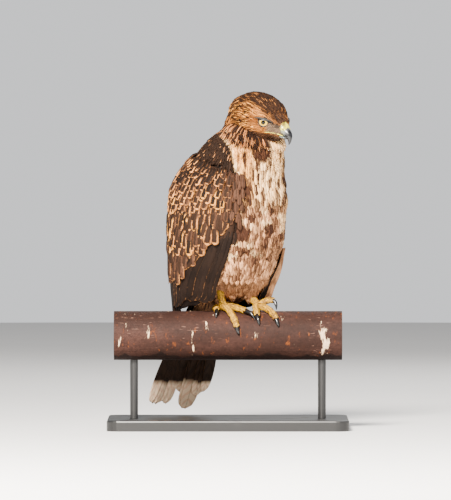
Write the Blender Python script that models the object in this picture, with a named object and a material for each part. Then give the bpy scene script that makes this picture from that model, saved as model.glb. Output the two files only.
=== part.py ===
"""A red-tailed hawk, life size, gripping a cut length of steel pipe on a plain display stand.

Metres, +Z up, origin at the middle of the stand's underside. The pipe runs along X and the bird
is seen from -Y, its breast turned a little to +X. The bird is measured from the pipe's axis.
"""

import bisect
import math
import random

import bmesh
import bpy
from mathutils import Vector

MM = 0.001
GAP = 0.3 * MM

# The stand and the perch
BASE_LENGTH = 0.360
BASE_WIDTH = 0.250
BASE_HEIGHT = 0.016
BASE_CORNER = 0.020
BASE_EDGE = 0.0025
TAIL_CLEARANCE = 0.0145
TAIL_REACH_BELOW_PERCH = 0.1095
PERCH_RADIUS = 0.0365
PERCH_WALL = 0.005
PERCH_LENGTH = 0.340
PIPE_SIDES = 48
PERCH_Y = -0.038
PERCH_Z = BASE_HEIGHT + TAIL_CLEARANCE + TAIL_REACH_BELOW_PERCH
PERCH = Vector((0.0, PERCH_Y, PERCH_Z))
ROD_RADIUS = 0.006
ROD_X = 0.140

# The bird's place on the perch and the way it faces
BODY_YAW = math.radians(45.0)
HEADING = Vector((math.sin(BODY_YAW), -math.cos(BODY_YAW), 0.0))
LEFT = Vector((math.cos(BODY_YAW), math.sin(BODY_YAW), 0.0))
UP = Vector((0.0, 0.0, 1.0))
BODY_AXIS = PERCH + Vector((0.0, 0.020, 0.0))

# Sections of the body, in millimetres: height over the perch's axis, half width, how far the
# front and the back lie ahead of the body's axis, the widest line, and the lean to the left
BREAST_AND_NECK = [
    (127, 71, 78, -80, -4, 0),
    (150, 74, 86, -80, -2, 0),
    (187, 75, 89, -79, 0, 0),
    (210, 75, 90, -76, 3, 0),
    (232, 70, 88, -70, 8, 0),
    (254, 63, 90, -58, 14, 1),
    (268, 58, 91, -47, 22, 2),
    (280, 53, 91, -37, 31, 3),
    (292, 49, 90, -25, 41, 5),
    (306, 44, 84, -8, 50, 7),
    (318, 39, 78, -1, 54, 9),
    (330, 31, 72, 8, 56, 9),
]
BELLY = [
    (47, 12, -8, -30, -18, 8),
    (51, 20, 4, -40, -16, 8),
    (59, 29, 22, -52, -14, 6),
    (68, 40, 40, -62, -11, 4),
    (83, 55, 57, -70, -8, 1.5),
    (105, 66, 70, -77, -6, 0),
]
WING_BED = [
    (-30, 36, -44, -92, -66, 0),
    (-12, 39, -34, -90, -59, 0),
    (5, 42, -20, -88, -52, 0),
    (45, 56, 28, -87, -28, 0),
    (75, 64, 48, -83, -18, 0),
    (105, 69, 68, -79, -8, 0),
]
FRONT_SQUARENESS = 2.4
BACK_SQUARENESS = 2.0
NECK_LINE = 262 * MM
BODY_SIDES = 32
BELLY_RINGS = 12
NECK_RINGS = 7

# The head, in its own directions: forward along the face, left, and up
HEAD_YAW = math.radians(50.0)
HEAD_PITCH = math.radians(16.0)
HEAD_CENTRE = PERCH + Vector((0.0495, -0.018, 0.3238))
HEAD_FORWARD = Vector((
    math.cos(HEAD_PITCH) * math.sin(HEAD_YAW),
    -math.cos(HEAD_PITCH) * math.cos(HEAD_YAW),
    -math.sin(HEAD_PITCH),
))
HEAD_LEFT = Vector((math.cos(HEAD_YAW), math.sin(HEAD_YAW), 0.0))
HEAD_UP = HEAD_FORWARD.cross(HEAD_LEFT)
HEAD_SQUARENESS = 2.25
HEAD_SIDES = 24
# Sections of the head in millimetres: forward, middle's height, half width, half height
HEAD_SECTIONS = [
    (-51, -4, 6, 6),
    (-49, -4, 13, 13),
    (-42, -3, 23, 24),
    (-30, -2, 31, 32),
    (-15, -1, 36, 36.5),
    (2, -1, 37.5, 36.5),
    (16, -2, 35.5, 33),
    (27, -3, 31, 27),
    (36, -4.5, 24, 19),
    (42, -4.6, 16.5, 15.8),
    (46, -4.4, 11.2, 12.4),
]
CERE_SECTIONS = [
    (46.3, -2.0, 9.9, 9.3),
    (50.0, -3.6, 8.7, 8.4),
    (53.6, -6.0, 7.3, 6.8),
]
# Sections of the hooked upper bill: forward, height, slope down in degrees, half width and height
UPPER_BILL_SECTIONS = [
    (53.9, -6.4, 0, 7.0, 6.4),
    (56.6, -8.0, 22, 6.0, 5.2),
    (59.8, -11.4, 55, 4.5, 4.1),
    (61.4, -16.0, 80, 3.0, 2.9),
    (62.3, -19.9, 95, 1.6, 1.6),
]
UPPER_BILL_TIP = (61.9, -23.5)
LOWER_BILL_SECTIONS = [
    (46.3, -14.9, 7.0, 2.3),
    (50.0, -15.1, 5.8, 2.2),
    (54.0, -15.3, 4.2, 1.8),
    (56.8, -15.2, 1.8, 0.9),
]
BILL_SIDES = 16
EYE_RADIUS = 9.4 * MM
EYE_FORWARD = 28.2 * MM
EYE_HEIGHT = 1.7 * MM
EYE_DEPTH = 7.7 * MM
EYE_TURN = math.radians(34.0)
LID_RADIUS = 7.4 * MM
LID_THICKNESS = 1.5 * MM
# The bore of a nostril, the line of the mouth and the ridge of the brow, in millimetres: forward,
# left for the nostril, up, and radius for the brow
NOSTRIL_LINE = [(50.8, 5.6, -3.2), (51.4, 12.0, -2.4)]
NOSTRIL_RADIUS = 1.2 * MM
NOSTRIL_SIDES = 10
GAPE_LINE = [(34.5, -10.8), (38, -11.4), (42, -11.9), (46.6, -12.3)]
GAPE_RADIUS = 0.8 * MM
GAPE_SIDES = 6
BROW_LINE = [(12, 4.5, 1.2), (20, 6.8, 2.6), (29, 8.6, 3.0), (39, 6.0, 1.4)]
BROW_SINK = 0.6 * MM
BROW_SIDES = 8

# The folded wing, as turns round the body from the breast, in degrees, and thicknesses
RIGHT_WING_EDGE = [
    (45, 43), (68, 45), (98, 47), (135, 45), (160, 43), (178, 42), (190, 38), (236, 36),
    (262, 50), (276, 70),
]
LEFT_WING_EDGE = [
    (45, 40), (75, 44), (110, 54), (140, 64), (190, 66), (236, 66), (262, 72), (276, 84),
]
WING_BACK_TURN = 178.0
WING_LAST_TURN = 179.3
WING_LEAN_SHARE = 0.3
WING_TOP = [(0.0, 236), (0.3, 254), (0.6, 266), (1.0, 274)]
WING_FOOT = [(0.0, 104), (0.3, 92), (0.55, 84), (0.8, 62), (1.0, 58)]
WING_THICKNESS = [
    (-30, 2.2), (5, 4), (45, 6), (75, 9), (105, 11.5), (130, 11), (210, 10), (240, 9),
    (262, 6), (280, 2.5),
]
WING_EDGE_THICKNESS = 3.0 * MM
WING_SWELL_TURN = 45.0
WING_BACK_THINNING = 0.4
WING_INNER_SINK = 1.5 * MM
WING_FOOT_TAPER = 0.35
WING_FOOT_THICKNESS = 2.4 * MM
WING_COLUMNS = 9
WING_ROWS = 9
# Tiers of wing feathers, lowest first. Tips: share of the way round the wing, and height
WING_TIERS = [
    {"tips": [(0.60, 24), (0.70, 4), (0.82, -16), (0.90, -12)], "count": 5,
     "length": 132, "width": 19, "lean": 7, "rise": 0.8},
    {"tips": [(0.03, 50), (0.15, 50), (0.30, 52), (0.45, 43), (0.57, 40)], "count": 7,
     "length": 100, "width": 21, "lean": 10, "rise": 2.0},
    {"tips": [(0.05, 166), (0.12, 148), (0.18, 136), (0.25, 117), (0.32, 99), (0.39, 86),
              (0.54, 77), (0.70, 80), (0.90, 88)], "count": 7,
     "length": 52, "width": 28, "lean": 12, "rise": 3.0},
    {"tips": [(0.04, 192), (0.13, 174), (0.25, 146), (0.36, 124), (0.50, 106), (0.70, 106),
              (0.92, 112)], "count": 7, "length": 38, "width": 25, "lean": 12, "rise": 3.0},
    {"tips": [(0.05, 202), (0.16, 192), (0.30, 170), (0.42, 150)], "count": 3,
     "length": 34, "width": 22, "lean": 12, "rise": 3.0},
    {"tips": [(0.48, 150), (0.65, 136), (0.80, 132), (0.92, 134)], "count": 4,
     "length": 42, "width": 29, "lean": 4, "rise": 3.2},
    {"tips": [(0.10, 206), (0.28, 200), (0.50, 184), (0.72, 170), (0.92, 168)], "count": 5,
     "length": 38, "width": 29, "lean": 5, "rise": 3.2},
    {"tips": [(0.30, 216), (0.50, 208), (0.72, 202), (0.92, 202)], "count": 5,
     "length": 32, "width": 26, "lean": 3, "rise": 2.8},
]
VANE_ROOT_SINK = 1.6
VANE_THICKNESS = 0.9
VANE_TIP_THICKNESS = 0.55
VANE_TILT = 0.09
VANE_SPREAD = 0.08
VANE_SEED = 7
# Half width and length of a vane at each of its rows, as shares; its middle ends at its tip
COVERT_ROWS = [(0.55, 0.0), (1.0, 0.55), (0.62, 0.94)]
QUILL_ROWS = [(0.45, 0.0), (0.92, 0.34), (1.0, 0.74), (0.62, 0.97)]
QUILL_LENGTH = 80

# The tail
TAIL_ROOT_FORWARD = -0.038
TAIL_ROOT_HEIGHT = 0.079
TAIL_TILT = math.radians(23.4)
TAIL_LENGTH = 0.2054
# Half width of the tail along its length, in millimetres
TAIL_WIDTHS = [(0.0, 13), (0.3, 32), (0.45, 43), (0.6, 53), (0.75, 58), (1.0, 60)]
TAIL_ARCH = 0.003
TAIL_ROOT_THICKNESS = 0.009
TAIL_CORE_TIP_THICKNESS = 0.0025
TAIL_CORE_DROP = 0.0022
TAIL_CORE_SHARE = 0.30
TAIL_COLUMNS = 6
TAIL_ROWS = 3
TAIL_VANES = 12
TAIL_VANE_REACH = 0.78
TAIL_VANE_HALF_WIDTH = 0.0145
TAIL_VANE_STEP = 1.25 * MM
TAIL_VANE_ROWS = [(0.5, 0.03), (0.72, 0.35), (0.95, 0.68), (1.0, 0.90), (0.6, 0.985)]
# Lengths of the tail's feathers from the bird's right to its left, as shares of the longest
TAIL_VANE_LENGTHS = [0.93, 0.945, 0.955, 0.95, 0.955, 0.965, 0.98, 0.99, 1.0, 0.91, 0.885, 0.87]

# The legs: centre line over the perch (across, back, height) and radius, in millimetres
RIGHT_THIGH = [
    (0, -6, 104, 24), (0, -5, 92, 29), (2, -2, 78, 24), (6, -3, 66, 17), (8.5, -3, 54, 11),
]
LEFT_THIGH = [
    (36, 6, 102, 24), (36, 5, 90, 28), (34, 6, 75, 24), (31.5, 7, 62, 18), (31, 7, 53, 12),
]
RIGHT_TARSUS = [
    (-9.0, -2, 80, 5.2), (-10.5, -0.5, 66, 5.2), (-9.6, 1, 56, 4.8), (-7.8, 3, 48, 5.2), (-7.5, 4, 43.6, 6.6),
]
LEFT_TARSUS = [(30, 7.5, 66, 5.2), (35, 6, 57, 4.8), (41, 4.5, 49, 5.2), (43, 4, 43.6, 6.6)]
LEG_SIDES = 16
TARSUS_SIDES = 12
TOE_SIDES = 10
# Each toe: along the perch, turn to the front in degrees, height of its middle over the
# perch's skin and radius in millimetres, then its claw in the same terms, out to its point
RIGHT_TOES = {
    "middle": (
        [(-7.5, -5, 7, 5.0), (-3, 12, 6, 4.8), (4, 35, 5.2, 4.4), (9, 53, 5, 4.6), (12.5, 68, 4.6, 3.9)],
        [(13.6, 74, 4.7, 3.0), (15.4, 82, 4.2, 2.1), (16.6, 87.5, 1.2, 0.5)],
    ),
    "inner": (
        [(-7.5, -5, 7, 5.0), (4, 4, 6.2, 4.9), (15, 15, 5.4, 4.6), (24.6, 26, 5.2, 4.2)],
        [(28.5, 31, 6.0, 3.4), (34, 38, 6.4, 2.7), (38.3, 46, 4.2, 1.7), (39.8, 52, 1.2, 0.5)],
    ),
    "outer": (
        [(-7.5, -5, 7, 5.0), (-14, -2, 6.2, 4.4), (-18, 9, 5.2, 4.2), (-17, 23, 4.8, 3.8)],
        [(-16.8, 30, 4.8, 2.9), (-17.4, 38, 4.0, 2.0), (-18, 44, 1.2, 0.5)],
    ),
    "hind": (
        [(-7.5, -5, 7, 5.0), (-6, -26, 6, 4.8), (-4, -46, 5.4, 4.5), (-2.5, -62, 5.2, 4.1)],
        [(-1.4, -72, 6.0, 3.3), (0.4, -88, 6.4, 2.6), (1.6, -103, 4.4, 1.6), (2, -112, 1.3, 0.5)],
    ),
}
LEFT_TOES = {
    "inner": (
        [(43, -5, 7, 5.0), (41.5, 10, 6, 4.7), (42, 27, 5.4, 4.5), (43, 42, 5, 4.0)],
        [(43.8, 49, 5.4, 3.1), (45.4, 58, 4.6, 2.2), (46.5, 65, 1.2, 0.5)],
    ),
    "middle": (
        [(43, -5, 7, 5.0), (52, 8, 6.2, 4.8), (60, 22, 5.4, 4.4), (66.5, 37, 5, 4.5), (70.8, 50, 4.7, 3.9)],
        [(72.3, 56, 4.9, 3.0), (74.3, 64, 4.0, 2.0), (75.5, 69.5, 1.2, 0.5)],
    ),
    "outer": (
        [(43, -5, 7, 5.0), (51, -6, 11.5, 4.6), (59, -6, 15.5, 4.3), (66.8, -5, 16, 3.9)],
        [(69.8, -3, 13.5, 3.0), (71.8, 0, 8.5, 2.1), (72.2, 3, 2.0, 0.6)],
    ),
    "hind": (
        [(43, -5, 7, 5.0), (44, -26, 6, 4.8), (45.5, -46, 5.4, 4.5), (46.5, -62, 5.2, 4.1)],
        [(47, -72, 6.0, 3.3), (47.6, -88, 6.4, 2.6), (48, -103, 4.4, 1.6), (48, -112, 1.3, 0.5)],
    ),
}
TOE_ORDER = ["middle", "inner", "outer", "hind"]

# Colours (linear), roughness and metallic value
FINISHES = {
    "brown_plumage": ((0.085, 0.045, 0.024), 0.8, 0.0),
    "buff_plumage": ((0.42, 0.27, 0.15), 0.85, 0.0),
    "cream_plumage": ((0.62, 0.52, 0.42), 0.85, 0.0),
    "tail_plumage": ((0.34, 0.26, 0.20), 0.8, 0.0),
    "yellow_skin": ((0.62, 0.48, 0.10), 0.5, 0.0),
    "cere_skin": ((0.55, 0.58, 0.28), 0.45, 0.0),
    "horn": ((0.025, 0.024, 0.026), 0.3, 0.0),
    "eye": ((0.55, 0.50, 0.22), 0.08, 0.0),
    "rusted_steel": ((0.11, 0.040, 0.022), 0.75, 0.35),
    "stand_paint": ((0.035, 0.036, 0.038), 0.45, 0.0),
}


def clear_scene():
    """Start from nothing."""
    for item in list(bpy.data.objects):
        bpy.data.objects.remove(item, do_unlink=True)


def make_collection(name):
    """Add a collection to the scene."""
    collection = bpy.data.collections.new(name)
    bpy.context.scene.collection.children.link(collection)
    return collection


def finish(name):
    """Make, or find, the material of a finish."""
    if name in bpy.data.materials:
        return bpy.data.materials[name]
    colour, roughness, metallic = FINISHES[name]
    material = bpy.data.materials.new(name)
    material.use_nodes = True
    shader = material.node_tree.nodes["Principled BSDF"]
    shader.inputs["Base Color"].default_value = (*colour, 1.0)
    shader.inputs["Roughness"].default_value = roughness
    shader.inputs["Metallic"].default_value = metallic
    return material


def add_object(name, mesh, collection, material_name=None):
    """Put a mesh in a collection, with its material."""
    if material_name:
        mesh.materials.clear()
        mesh.materials.append(finish(material_name))
    item = bpy.data.objects.new(name, mesh)
    collection.objects.link(item)
    return item


def add_tool(mesh, tools):
    """Put a mesh among the shapes that join or cut a part."""
    item = bpy.data.objects.new("tool", mesh)
    tools.objects.link(item)
    item.hide_render = True
    item.display_type = "WIRE"
    return item


def blend_rows(rows, key):
    """Read a table at a key, smoothly between its rows. A row's first entry is its key."""
    keys = [row[0] for row in rows]
    key = min(max(key, keys[0]), keys[-1])
    low = min(max(bisect.bisect_right(keys, key) - 1, 0), len(rows) - 2)
    span = keys[low + 1] - keys[low]
    part = (key - keys[low]) / span
    before = max(low - 1, 0)
    after = min(low + 2, len(rows) - 1)
    values = []
    for column in range(1, len(rows[0])):
        start = rows[low][column]
        end = rows[low + 1][column]
        slope_in = (end - rows[before][column]) / (keys[low + 1] - keys[before]) * span
        slope_out = (rows[after][column] - start) / (keys[after] - keys[low]) * span
        square = part * part
        cube = square * part
        values.append(
            start * (2 * cube - 3 * square + 1)
            + slope_in * (cube - 2 * square + part)
            + end * (3 * square - 2 * cube)
            + slope_out * (cube - square)
        )
    return values


def signed_power(value, power):
    """Raise a number's size to a power and keep its sign."""
    return math.copysign(abs(value) ** power, value)


def ease(value):
    """A soft step from 0 to 1."""
    value = min(max(value, 0.0), 1.0)
    return value * value * (3.0 - 2.0 * value)


def triangles_between(mesh, ring, following, closed=True):
    """Join two rows of points with triangles, all split the same way."""
    count = len(ring)
    for i in range(count if closed else count - 1):
        j = (i + 1) % count
        mesh.faces.new((ring[i], ring[j], following[i]))
        mesh.faces.new((ring[j], following[j], following[i]))


def finish_mesh(name, mesh):
    """Turn the faces outward and give the mesh its name."""
    bmesh.ops.recalc_face_normals(mesh, faces=mesh.faces)
    data = bpy.data.meshes.new(name)
    mesh.to_mesh(data)
    mesh.free()
    return data


def loft(name, rings, start_pole=None, end_pole=None):
    """A closed skin through rings of points, each end drawn to its pole or to its middle."""
    mesh = bmesh.new()
    rows = [[mesh.verts.new(point) for point in ring] for ring in rings]
    for ring, following in zip(rows, rows[1:]):
        triangles_between(mesh, ring, following)
    for row, pole in ((rows[0], start_pole), (rows[-1], end_pole)):
        middle = pole or sum((vertex.co for vertex in row), Vector()) / len(row)
        centre = mesh.verts.new(middle)
        for i, vertex in enumerate(row):
            mesh.faces.new((vertex, row[(i + 1) % len(row)], centre))
    return finish_mesh(name, mesh)


def sheet(name, outer, inner):
    """A closed plate between two grids of points that have the same rows and columns."""
    mesh = bmesh.new()
    faces = []
    for grid in (outer, inner):
        rows = [[mesh.verts.new(point) for point in row] for row in grid]
        for row, following in zip(rows, rows[1:]):
            triangles_between(mesh, row, following, closed=False)
        faces.append(rows)
    top, under = faces
    rims = [
        (top[0], under[0]),
        (top[-1], under[-1]),
        ([row[0] for row in top], [row[0] for row in under]),
        ([row[-1] for row in top], [row[-1] for row in under]),
    ]
    for edge, lower_edge in rims:
        triangles_between(mesh, edge, lower_edge, closed=False)
    return finish_mesh(name, mesh)


def tube(name, points, radii, sides, end_pole=None):
    """A round bar of changing radius along a line of points."""
    rings = []
    side = Vector((1.0, 0.0, 0.0))
    for i, point in enumerate(points):
        along = (points[min(i + 1, len(points) - 1)] - points[max(i - 1, 0)]).normalized()
        if abs(side.dot(along)) < 0.98:
            side = (side - along * side.dot(along)).normalized()
        else:
            side = along.orthogonal().normalized()
        across = along.cross(side)
        turns = [2.0 * math.pi * k / sides for k in range(sides)]
        rings.append([point + (side * math.cos(a) + across * math.sin(a)) * radii[i] for a in turns])
    return loft(name, rings, end_pole=end_pole)


def ball(name, centre, radius, segments=14, rings=9):
    """A round ball."""
    mesh = bmesh.new()
    bmesh.ops.create_uvsphere(mesh, u_segments=segments, v_segments=rings, radius=radius)
    bmesh.ops.translate(mesh, verts=mesh.verts, vec=centre)
    return finish_mesh(name, mesh)


def bar(name, start, end, radius, sides=24):
    """A straight round bar."""
    return tube(name, [start, end], [radius, radius], sides)


def ring_bar(name, centre, axis, radius, thickness, segments=16, sides=5):
    """A round ring about an axis."""
    side = axis.orthogonal().normalized()
    across = axis.cross(side)
    mesh = bmesh.new()
    rows = []
    for i in range(segments):
        turn = 2.0 * math.pi * i / segments
        out = side * math.cos(turn) + across * math.sin(turn)
        rows.append([
            mesh.verts.new(centre + out * (radius + thickness * math.cos(2.0 * math.pi * k / sides))
                           + axis * thickness * math.sin(2.0 * math.pi * k / sides))
            for k in range(sides)
        ])
    for i, row in enumerate(rows):
        triangles_between(mesh, row, rows[(i + 1) % segments])
    return finish_mesh(name, mesh)


def evaluated_mesh(item):
    """The mesh of an object with its modifiers applied."""
    graph = bpy.context.evaluated_depsgraph_get()
    return bpy.data.meshes.new_from_object(item.evaluated_get(graph))


def combine(item, meshes, operation, solver="EXACT"):
    """Join meshes to an object, or cut them from it, and apply the result."""
    tools = make_collection("tools")
    for mesh in meshes:
        add_tool(mesh, tools)
    modifier = item.modifiers.new(operation.lower(), "BOOLEAN")
    modifier.operation = operation
    modifier.operand_type = "COLLECTION"
    modifier.collection = tools
    modifier.solver = solver
    result = evaluated_mesh(item)
    item.modifiers.clear()
    item.data = result
    for tool in list(tools.objects):
        bpy.data.objects.remove(tool, do_unlink=True)
    bpy.data.collections.remove(tools)
    keep_largest(item)


def surface_parts(mesh):
    """The separate closed surfaces of a mesh, each a list of faces."""
    seen = set()
    parts = []
    for first in mesh.faces:
        if first.index in seen:
            continue
        seen.add(first.index)
        part = []
        waiting = [first]
        while waiting:
            face = waiting.pop()
            part.append(face)
            for edge in face.edges:
                for other in edge.link_faces:
                    if other.index not in seen:
                        seen.add(other.index)
                        waiting.append(other)
        parts.append(part)
    return parts


def keep_largest(item):
    """Keep only the closed surface that takes in the most room."""
    mesh = bmesh.new()
    mesh.from_mesh(item.data)
    bmesh.ops.triangulate(mesh, faces=mesh.faces)
    mesh.faces.ensure_lookup_table()
    mesh.faces.index_update()
    parts = surface_parts(mesh)

    def volume(part):
        total = 0.0
        for face in part:
            a, b, c = (vertex.co for vertex in face.verts)
            total += a.dot(b.cross(c))
        return abs(total)

    parts.sort(key=volume, reverse=True)
    loose = [face for part in parts[1:] for face in part]
    bmesh.ops.delete(mesh, geom=loose, context="FACES")
    mesh.to_mesh(item.data)
    mesh.free()


def body_point(left, forward, height):
    """A point in the bird's own directions, from the perch's axis."""
    return BODY_AXIS + LEFT * left + HEADING * forward + UP * height


def section_point(rows, height, turn, grow=0.0):
    """A point of a body section: turn in degrees from the breast to the bird's right side."""
    half_width, front, back, middle, lean = (value * MM for value in blend_rows(rows, height / MM))
    cosine = math.cos(math.radians(turn))
    sine = math.sin(math.radians(turn))
    ahead = cosine >= 0.0
    power = 2.0 / (FRONT_SQUARENESS if ahead else BACK_SQUARENESS)
    reach = (front - middle if ahead else middle - back) + grow
    forward = middle + signed_power(cosine, power) * reach
    left = lean - signed_power(sine, power) * (half_width + grow)
    return body_point(left, forward, height)


def body_loft(name, rows, low, high, count, grow=0.0):
    """Part of the body between two heights, made larger by grow for cutting its neighbours."""
    rings = []
    for i in range(count + 1):
        height = low + (high - low) * i / count
        drawn = height
        if i == 0:
            drawn = height - grow
        elif i == count:
            drawn = height + grow
        ring = [section_point(rows, height, 360.0 * k / BODY_SIDES, grow) for k in range(BODY_SIDES)]
        rings.append([point + UP * (drawn - height) for point in ring])
    return loft(name, rings)


def torso_mesh(grow=0.0):
    """Breast, belly and back, from the vent up to the base of the neck."""
    rows = BELLY + BREAST_AND_NECK
    return body_loft("torso", rows, BELLY[0][0] * MM, NECK_LINE - GAP / 2.0, BELLY_RINGS, grow)


def neck_mesh(grow=0.0):
    """The neck, which runs up into the back of the head."""
    top = BREAST_AND_NECK[-1][0] * MM
    return body_loft("neck", BREAST_AND_NECK, NECK_LINE + GAP / 2.0, top, NECK_RINGS, grow)


def head_point(forward, left, up):
    """A point in the head's own directions."""
    return HEAD_CENTRE + HEAD_FORWARD * forward + HEAD_LEFT * left + HEAD_UP * up


def head_ring(row, sides, grow=0.0, squareness=HEAD_SQUARENESS):
    """One section across the head or the bill, square to its length."""
    forward, middle, half_width, half_height = (value * MM for value in row)
    power = 2.0 / squareness
    ring = []
    for k in range(sides):
        turn = 2.0 * math.pi * k / sides
        left = signed_power(math.cos(turn), power) * (half_width + grow)
        up = middle + signed_power(math.sin(turn), power) * (half_height + grow)
        ring.append(head_point(forward, left, up))
    return ring


def head_mesh(grow=0.0):
    """The skull with its short feathers."""
    rings = [head_ring(row, HEAD_SIDES, grow) for row in HEAD_SECTIONS]
    if grow:
        rings[0] = [point - HEAD_FORWARD * grow for point in rings[0]]
        rings[-1] = [point + HEAD_FORWARD * grow for point in rings[-1]]
    return loft("head", rings)


def skull_side(forward, up):
    """How far the head reaches to its side at a place on its length and height."""
    middle, half_width, half_height = blend_rows(HEAD_SECTIONS, forward / MM)
    rise = abs(up / MM - middle) / half_height
    return half_width * MM * (1.0 - rise ** HEAD_SQUARENESS) ** (1.0 / HEAD_SQUARENESS)


def eye_axis(side):
    """The way an eye looks: side is 1 for the left and -1 for the right."""
    return HEAD_LEFT * side * math.cos(EYE_TURN) + HEAD_FORWARD * math.sin(EYE_TURN)


def eye_centre(side):
    """The middle of an eyeball."""
    depth = skull_side(EYE_FORWARD, EYE_HEIGHT) - EYE_DEPTH
    return head_point(EYE_FORWARD - EYE_DEPTH * math.sin(EYE_TURN), side * depth, EYE_HEIGHT)


def build_head(collection):
    """Head with brows, lids, eye sockets and the line of the mouth."""
    head = add_object("head", head_mesh(), collection, "buff_plumage")
    joined = []
    grooves = []
    sockets = []
    for side in (-1, 1):
        centre = eye_centre(side)
        axis = eye_axis(side)
        rim = math.sqrt(EYE_RADIUS ** 2 - LID_RADIUS ** 2)
        joined.append(ring_bar("lid", centre + axis * rim, axis, LID_RADIUS, LID_THICKNESS))
        brow = []
        for forward, up, _ in BROW_LINE:
            reach = skull_side(forward * MM, up * MM) - BROW_SINK
            brow.append(head_point(forward * MM, side * reach, up * MM))
        joined.append(tube("brow", brow, [row[2] * MM for row in BROW_LINE], BROW_SIDES))
        sockets.append(ball("socket", centre, EYE_RADIUS + GAP))
        groove = []
        for forward, up in GAPE_LINE:
            reach = skull_side(min(forward, HEAD_SECTIONS[-1][0]) * MM, up * MM)
            groove.append(head_point(forward * MM, side * reach, up * MM))
        grooves.append(tube("gape", groove, [GAPE_RADIUS] * len(groove), GAPE_SIDES))
    combine(head, joined, "UNION")
    combine(head, sockets + grooves, "DIFFERENCE")
    return head


def build_bill(collection):
    """Cere with nostrils, hooked upper bill and lower bill."""
    cere_rings = [head_ring(row, BILL_SIDES, 0.0, 2.0) for row in CERE_SECTIONS]
    cere = add_object("cere", loft("cere", cere_rings), collection, "cere_skin")
    nostrils = []
    for side in (-1, 1):
        inner, outer = (
            head_point(forward * MM, side * left * MM, up * MM) for forward, left, up in NOSTRIL_LINE
        )
        nostrils.append(bar("nostril", inner, outer, NOSTRIL_RADIUS, NOSTRIL_SIDES))
    combine(cere, nostrils, "DIFFERENCE")

    add_object("upper_bill", upper_bill_mesh(), collection, "horn")
    lower_rings = [head_ring(row, BILL_SIDES, 0.0, 2.0) for row in LOWER_BILL_SECTIONS]
    lower = add_object("lower_bill", loft("lower_bill", lower_rings), collection, "horn")
    cere_room = [head_ring(row, BILL_SIDES, GAP, 2.0) for row in CERE_SECTIONS]
    combine(lower, [upper_bill_mesh(GAP), loft("cere_room", cere_room)], "DIFFERENCE")


def upper_bill_mesh(grow=0.0):
    """The hooked upper bill, its sections turning down towards the point."""
    rings = []
    for forward, up, slope, half_width, half_height in UPPER_BILL_SECTIONS:
        centre = head_point(forward * MM, 0.0, up * MM)
        angle = math.radians(slope)
        rise = HEAD_FORWARD * math.sin(angle) + HEAD_UP * math.cos(angle)
        ring = []
        for k in range(BILL_SIDES):
            turn = 2.0 * math.pi * k / BILL_SIDES
            across = HEAD_LEFT * math.cos(turn) * (half_width * MM + grow)
            ring.append(centre + across + rise * math.sin(turn) * (half_height * MM + grow))
        rings.append(ring)
    tip_forward, tip_up = UPPER_BILL_TIP
    return loft("upper_bill", rings, end_pole=head_point(tip_forward * MM, 0.0, tip_up * MM - grow))


def wing_point(edge, side, height, share, out):
    """A point of a folded wing: share runs from its front edge to the middle of the back."""
    front_turn = blend_rows(edge, height / MM)[0]
    turn = front_turn + (WING_BACK_TURN - front_turn) * share
    rows = WING_BED + BREAST_AND_NECK
    return section_point(rows, height, turn * side, out)


def wing_thickness(edge, height, share):
    """How far the wing stands out over the body."""
    front_turn = blend_rows(edge, height / MM)[0]
    swell = ease((WING_BACK_TURN - front_turn) * share / WING_SWELL_TURN)
    thin_back = 1.0 - WING_BACK_THINNING * ease((share - 0.6) / 0.4)
    full = blend_rows(WING_THICKNESS, height / MM)[0] * MM * thin_back
    return WING_EDGE_THICKNESS + max(full - WING_EDGE_THICKNESS, 0.0) * swell


def wing_vane(edge, side, tier, share, tip_height, draw):
    """One feather of the wing: a thin curved plate whose root is sunk in the wing."""
    length = tier["length"] * (1.0 + VANE_SPREAD * draw.uniform(-1.0, 1.0))
    half_width = tier["width"] / 2.0
    lean = math.radians(tier["lean"] * min(1.0, share / WING_LEAN_SHARE) + 2.0 * draw.uniform(-1.0, 1.0))
    vane_rows = QUILL_ROWS if tier["length"] > QUILL_LENGTH else COVERT_ROWS
    grids = []
    for sign in (0.5, -0.5):
        grid = []
        for wide, along in vane_rows:
            row = []
            for j in (-1, 0, 1):
                reach = along if j or wide != vane_rows[-1][0] else 1.0
                left_over = (1.0 - reach) * length
                across = j * wide * half_width
                height = tip_height + left_over * math.cos(lean) + across * math.sin(lean)
                rows = WING_BED + BREAST_AND_NECK
                degree = math.radians(blend_rows(rows, height)[0])
                front_turn = blend_rows(edge, height)[0]
                turn = front_turn + (WING_BACK_TURN - front_turn) * share
                turn += (across * math.cos(lean) - left_over * math.sin(lean)) / degree
                place = (turn - front_turn) / (WING_BACK_TURN - front_turn)
                thick = VANE_THICKNESS + (VANE_TIP_THICKNESS - VANE_THICKNESS) * along
                out = (VANE_ROOT_SINK + tier["rise"]) * reach - VANE_ROOT_SINK + VANE_TILT * across
                out += sign * thick
                base = wing_thickness(edge, height * MM, place)
                turn = min(turn, WING_LAST_TURN) * side
                row.append(section_point(rows, height * MM, turn, base + out * MM))
            grid.append(row)
        grids.append(grid)
    return grids


def wing_vanes(edge, side):
    """The grids of every feather of a wing, tier by tier."""
    draw = random.Random(VANE_SEED)
    vanes = []
    for tier in WING_TIERS:
        for i in range(tier["count"]):
            first = tier["tips"][0][0]
            last = tier["tips"][-1][0]
            share = first + (last - first) * i / (tier["count"] - 1)
            height = blend_rows(tier["tips"], share)[0] + draw.uniform(-1.5, 1.5)
            vanes.append(wing_vane(edge, side, tier, share, height, draw))
    return vanes


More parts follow.
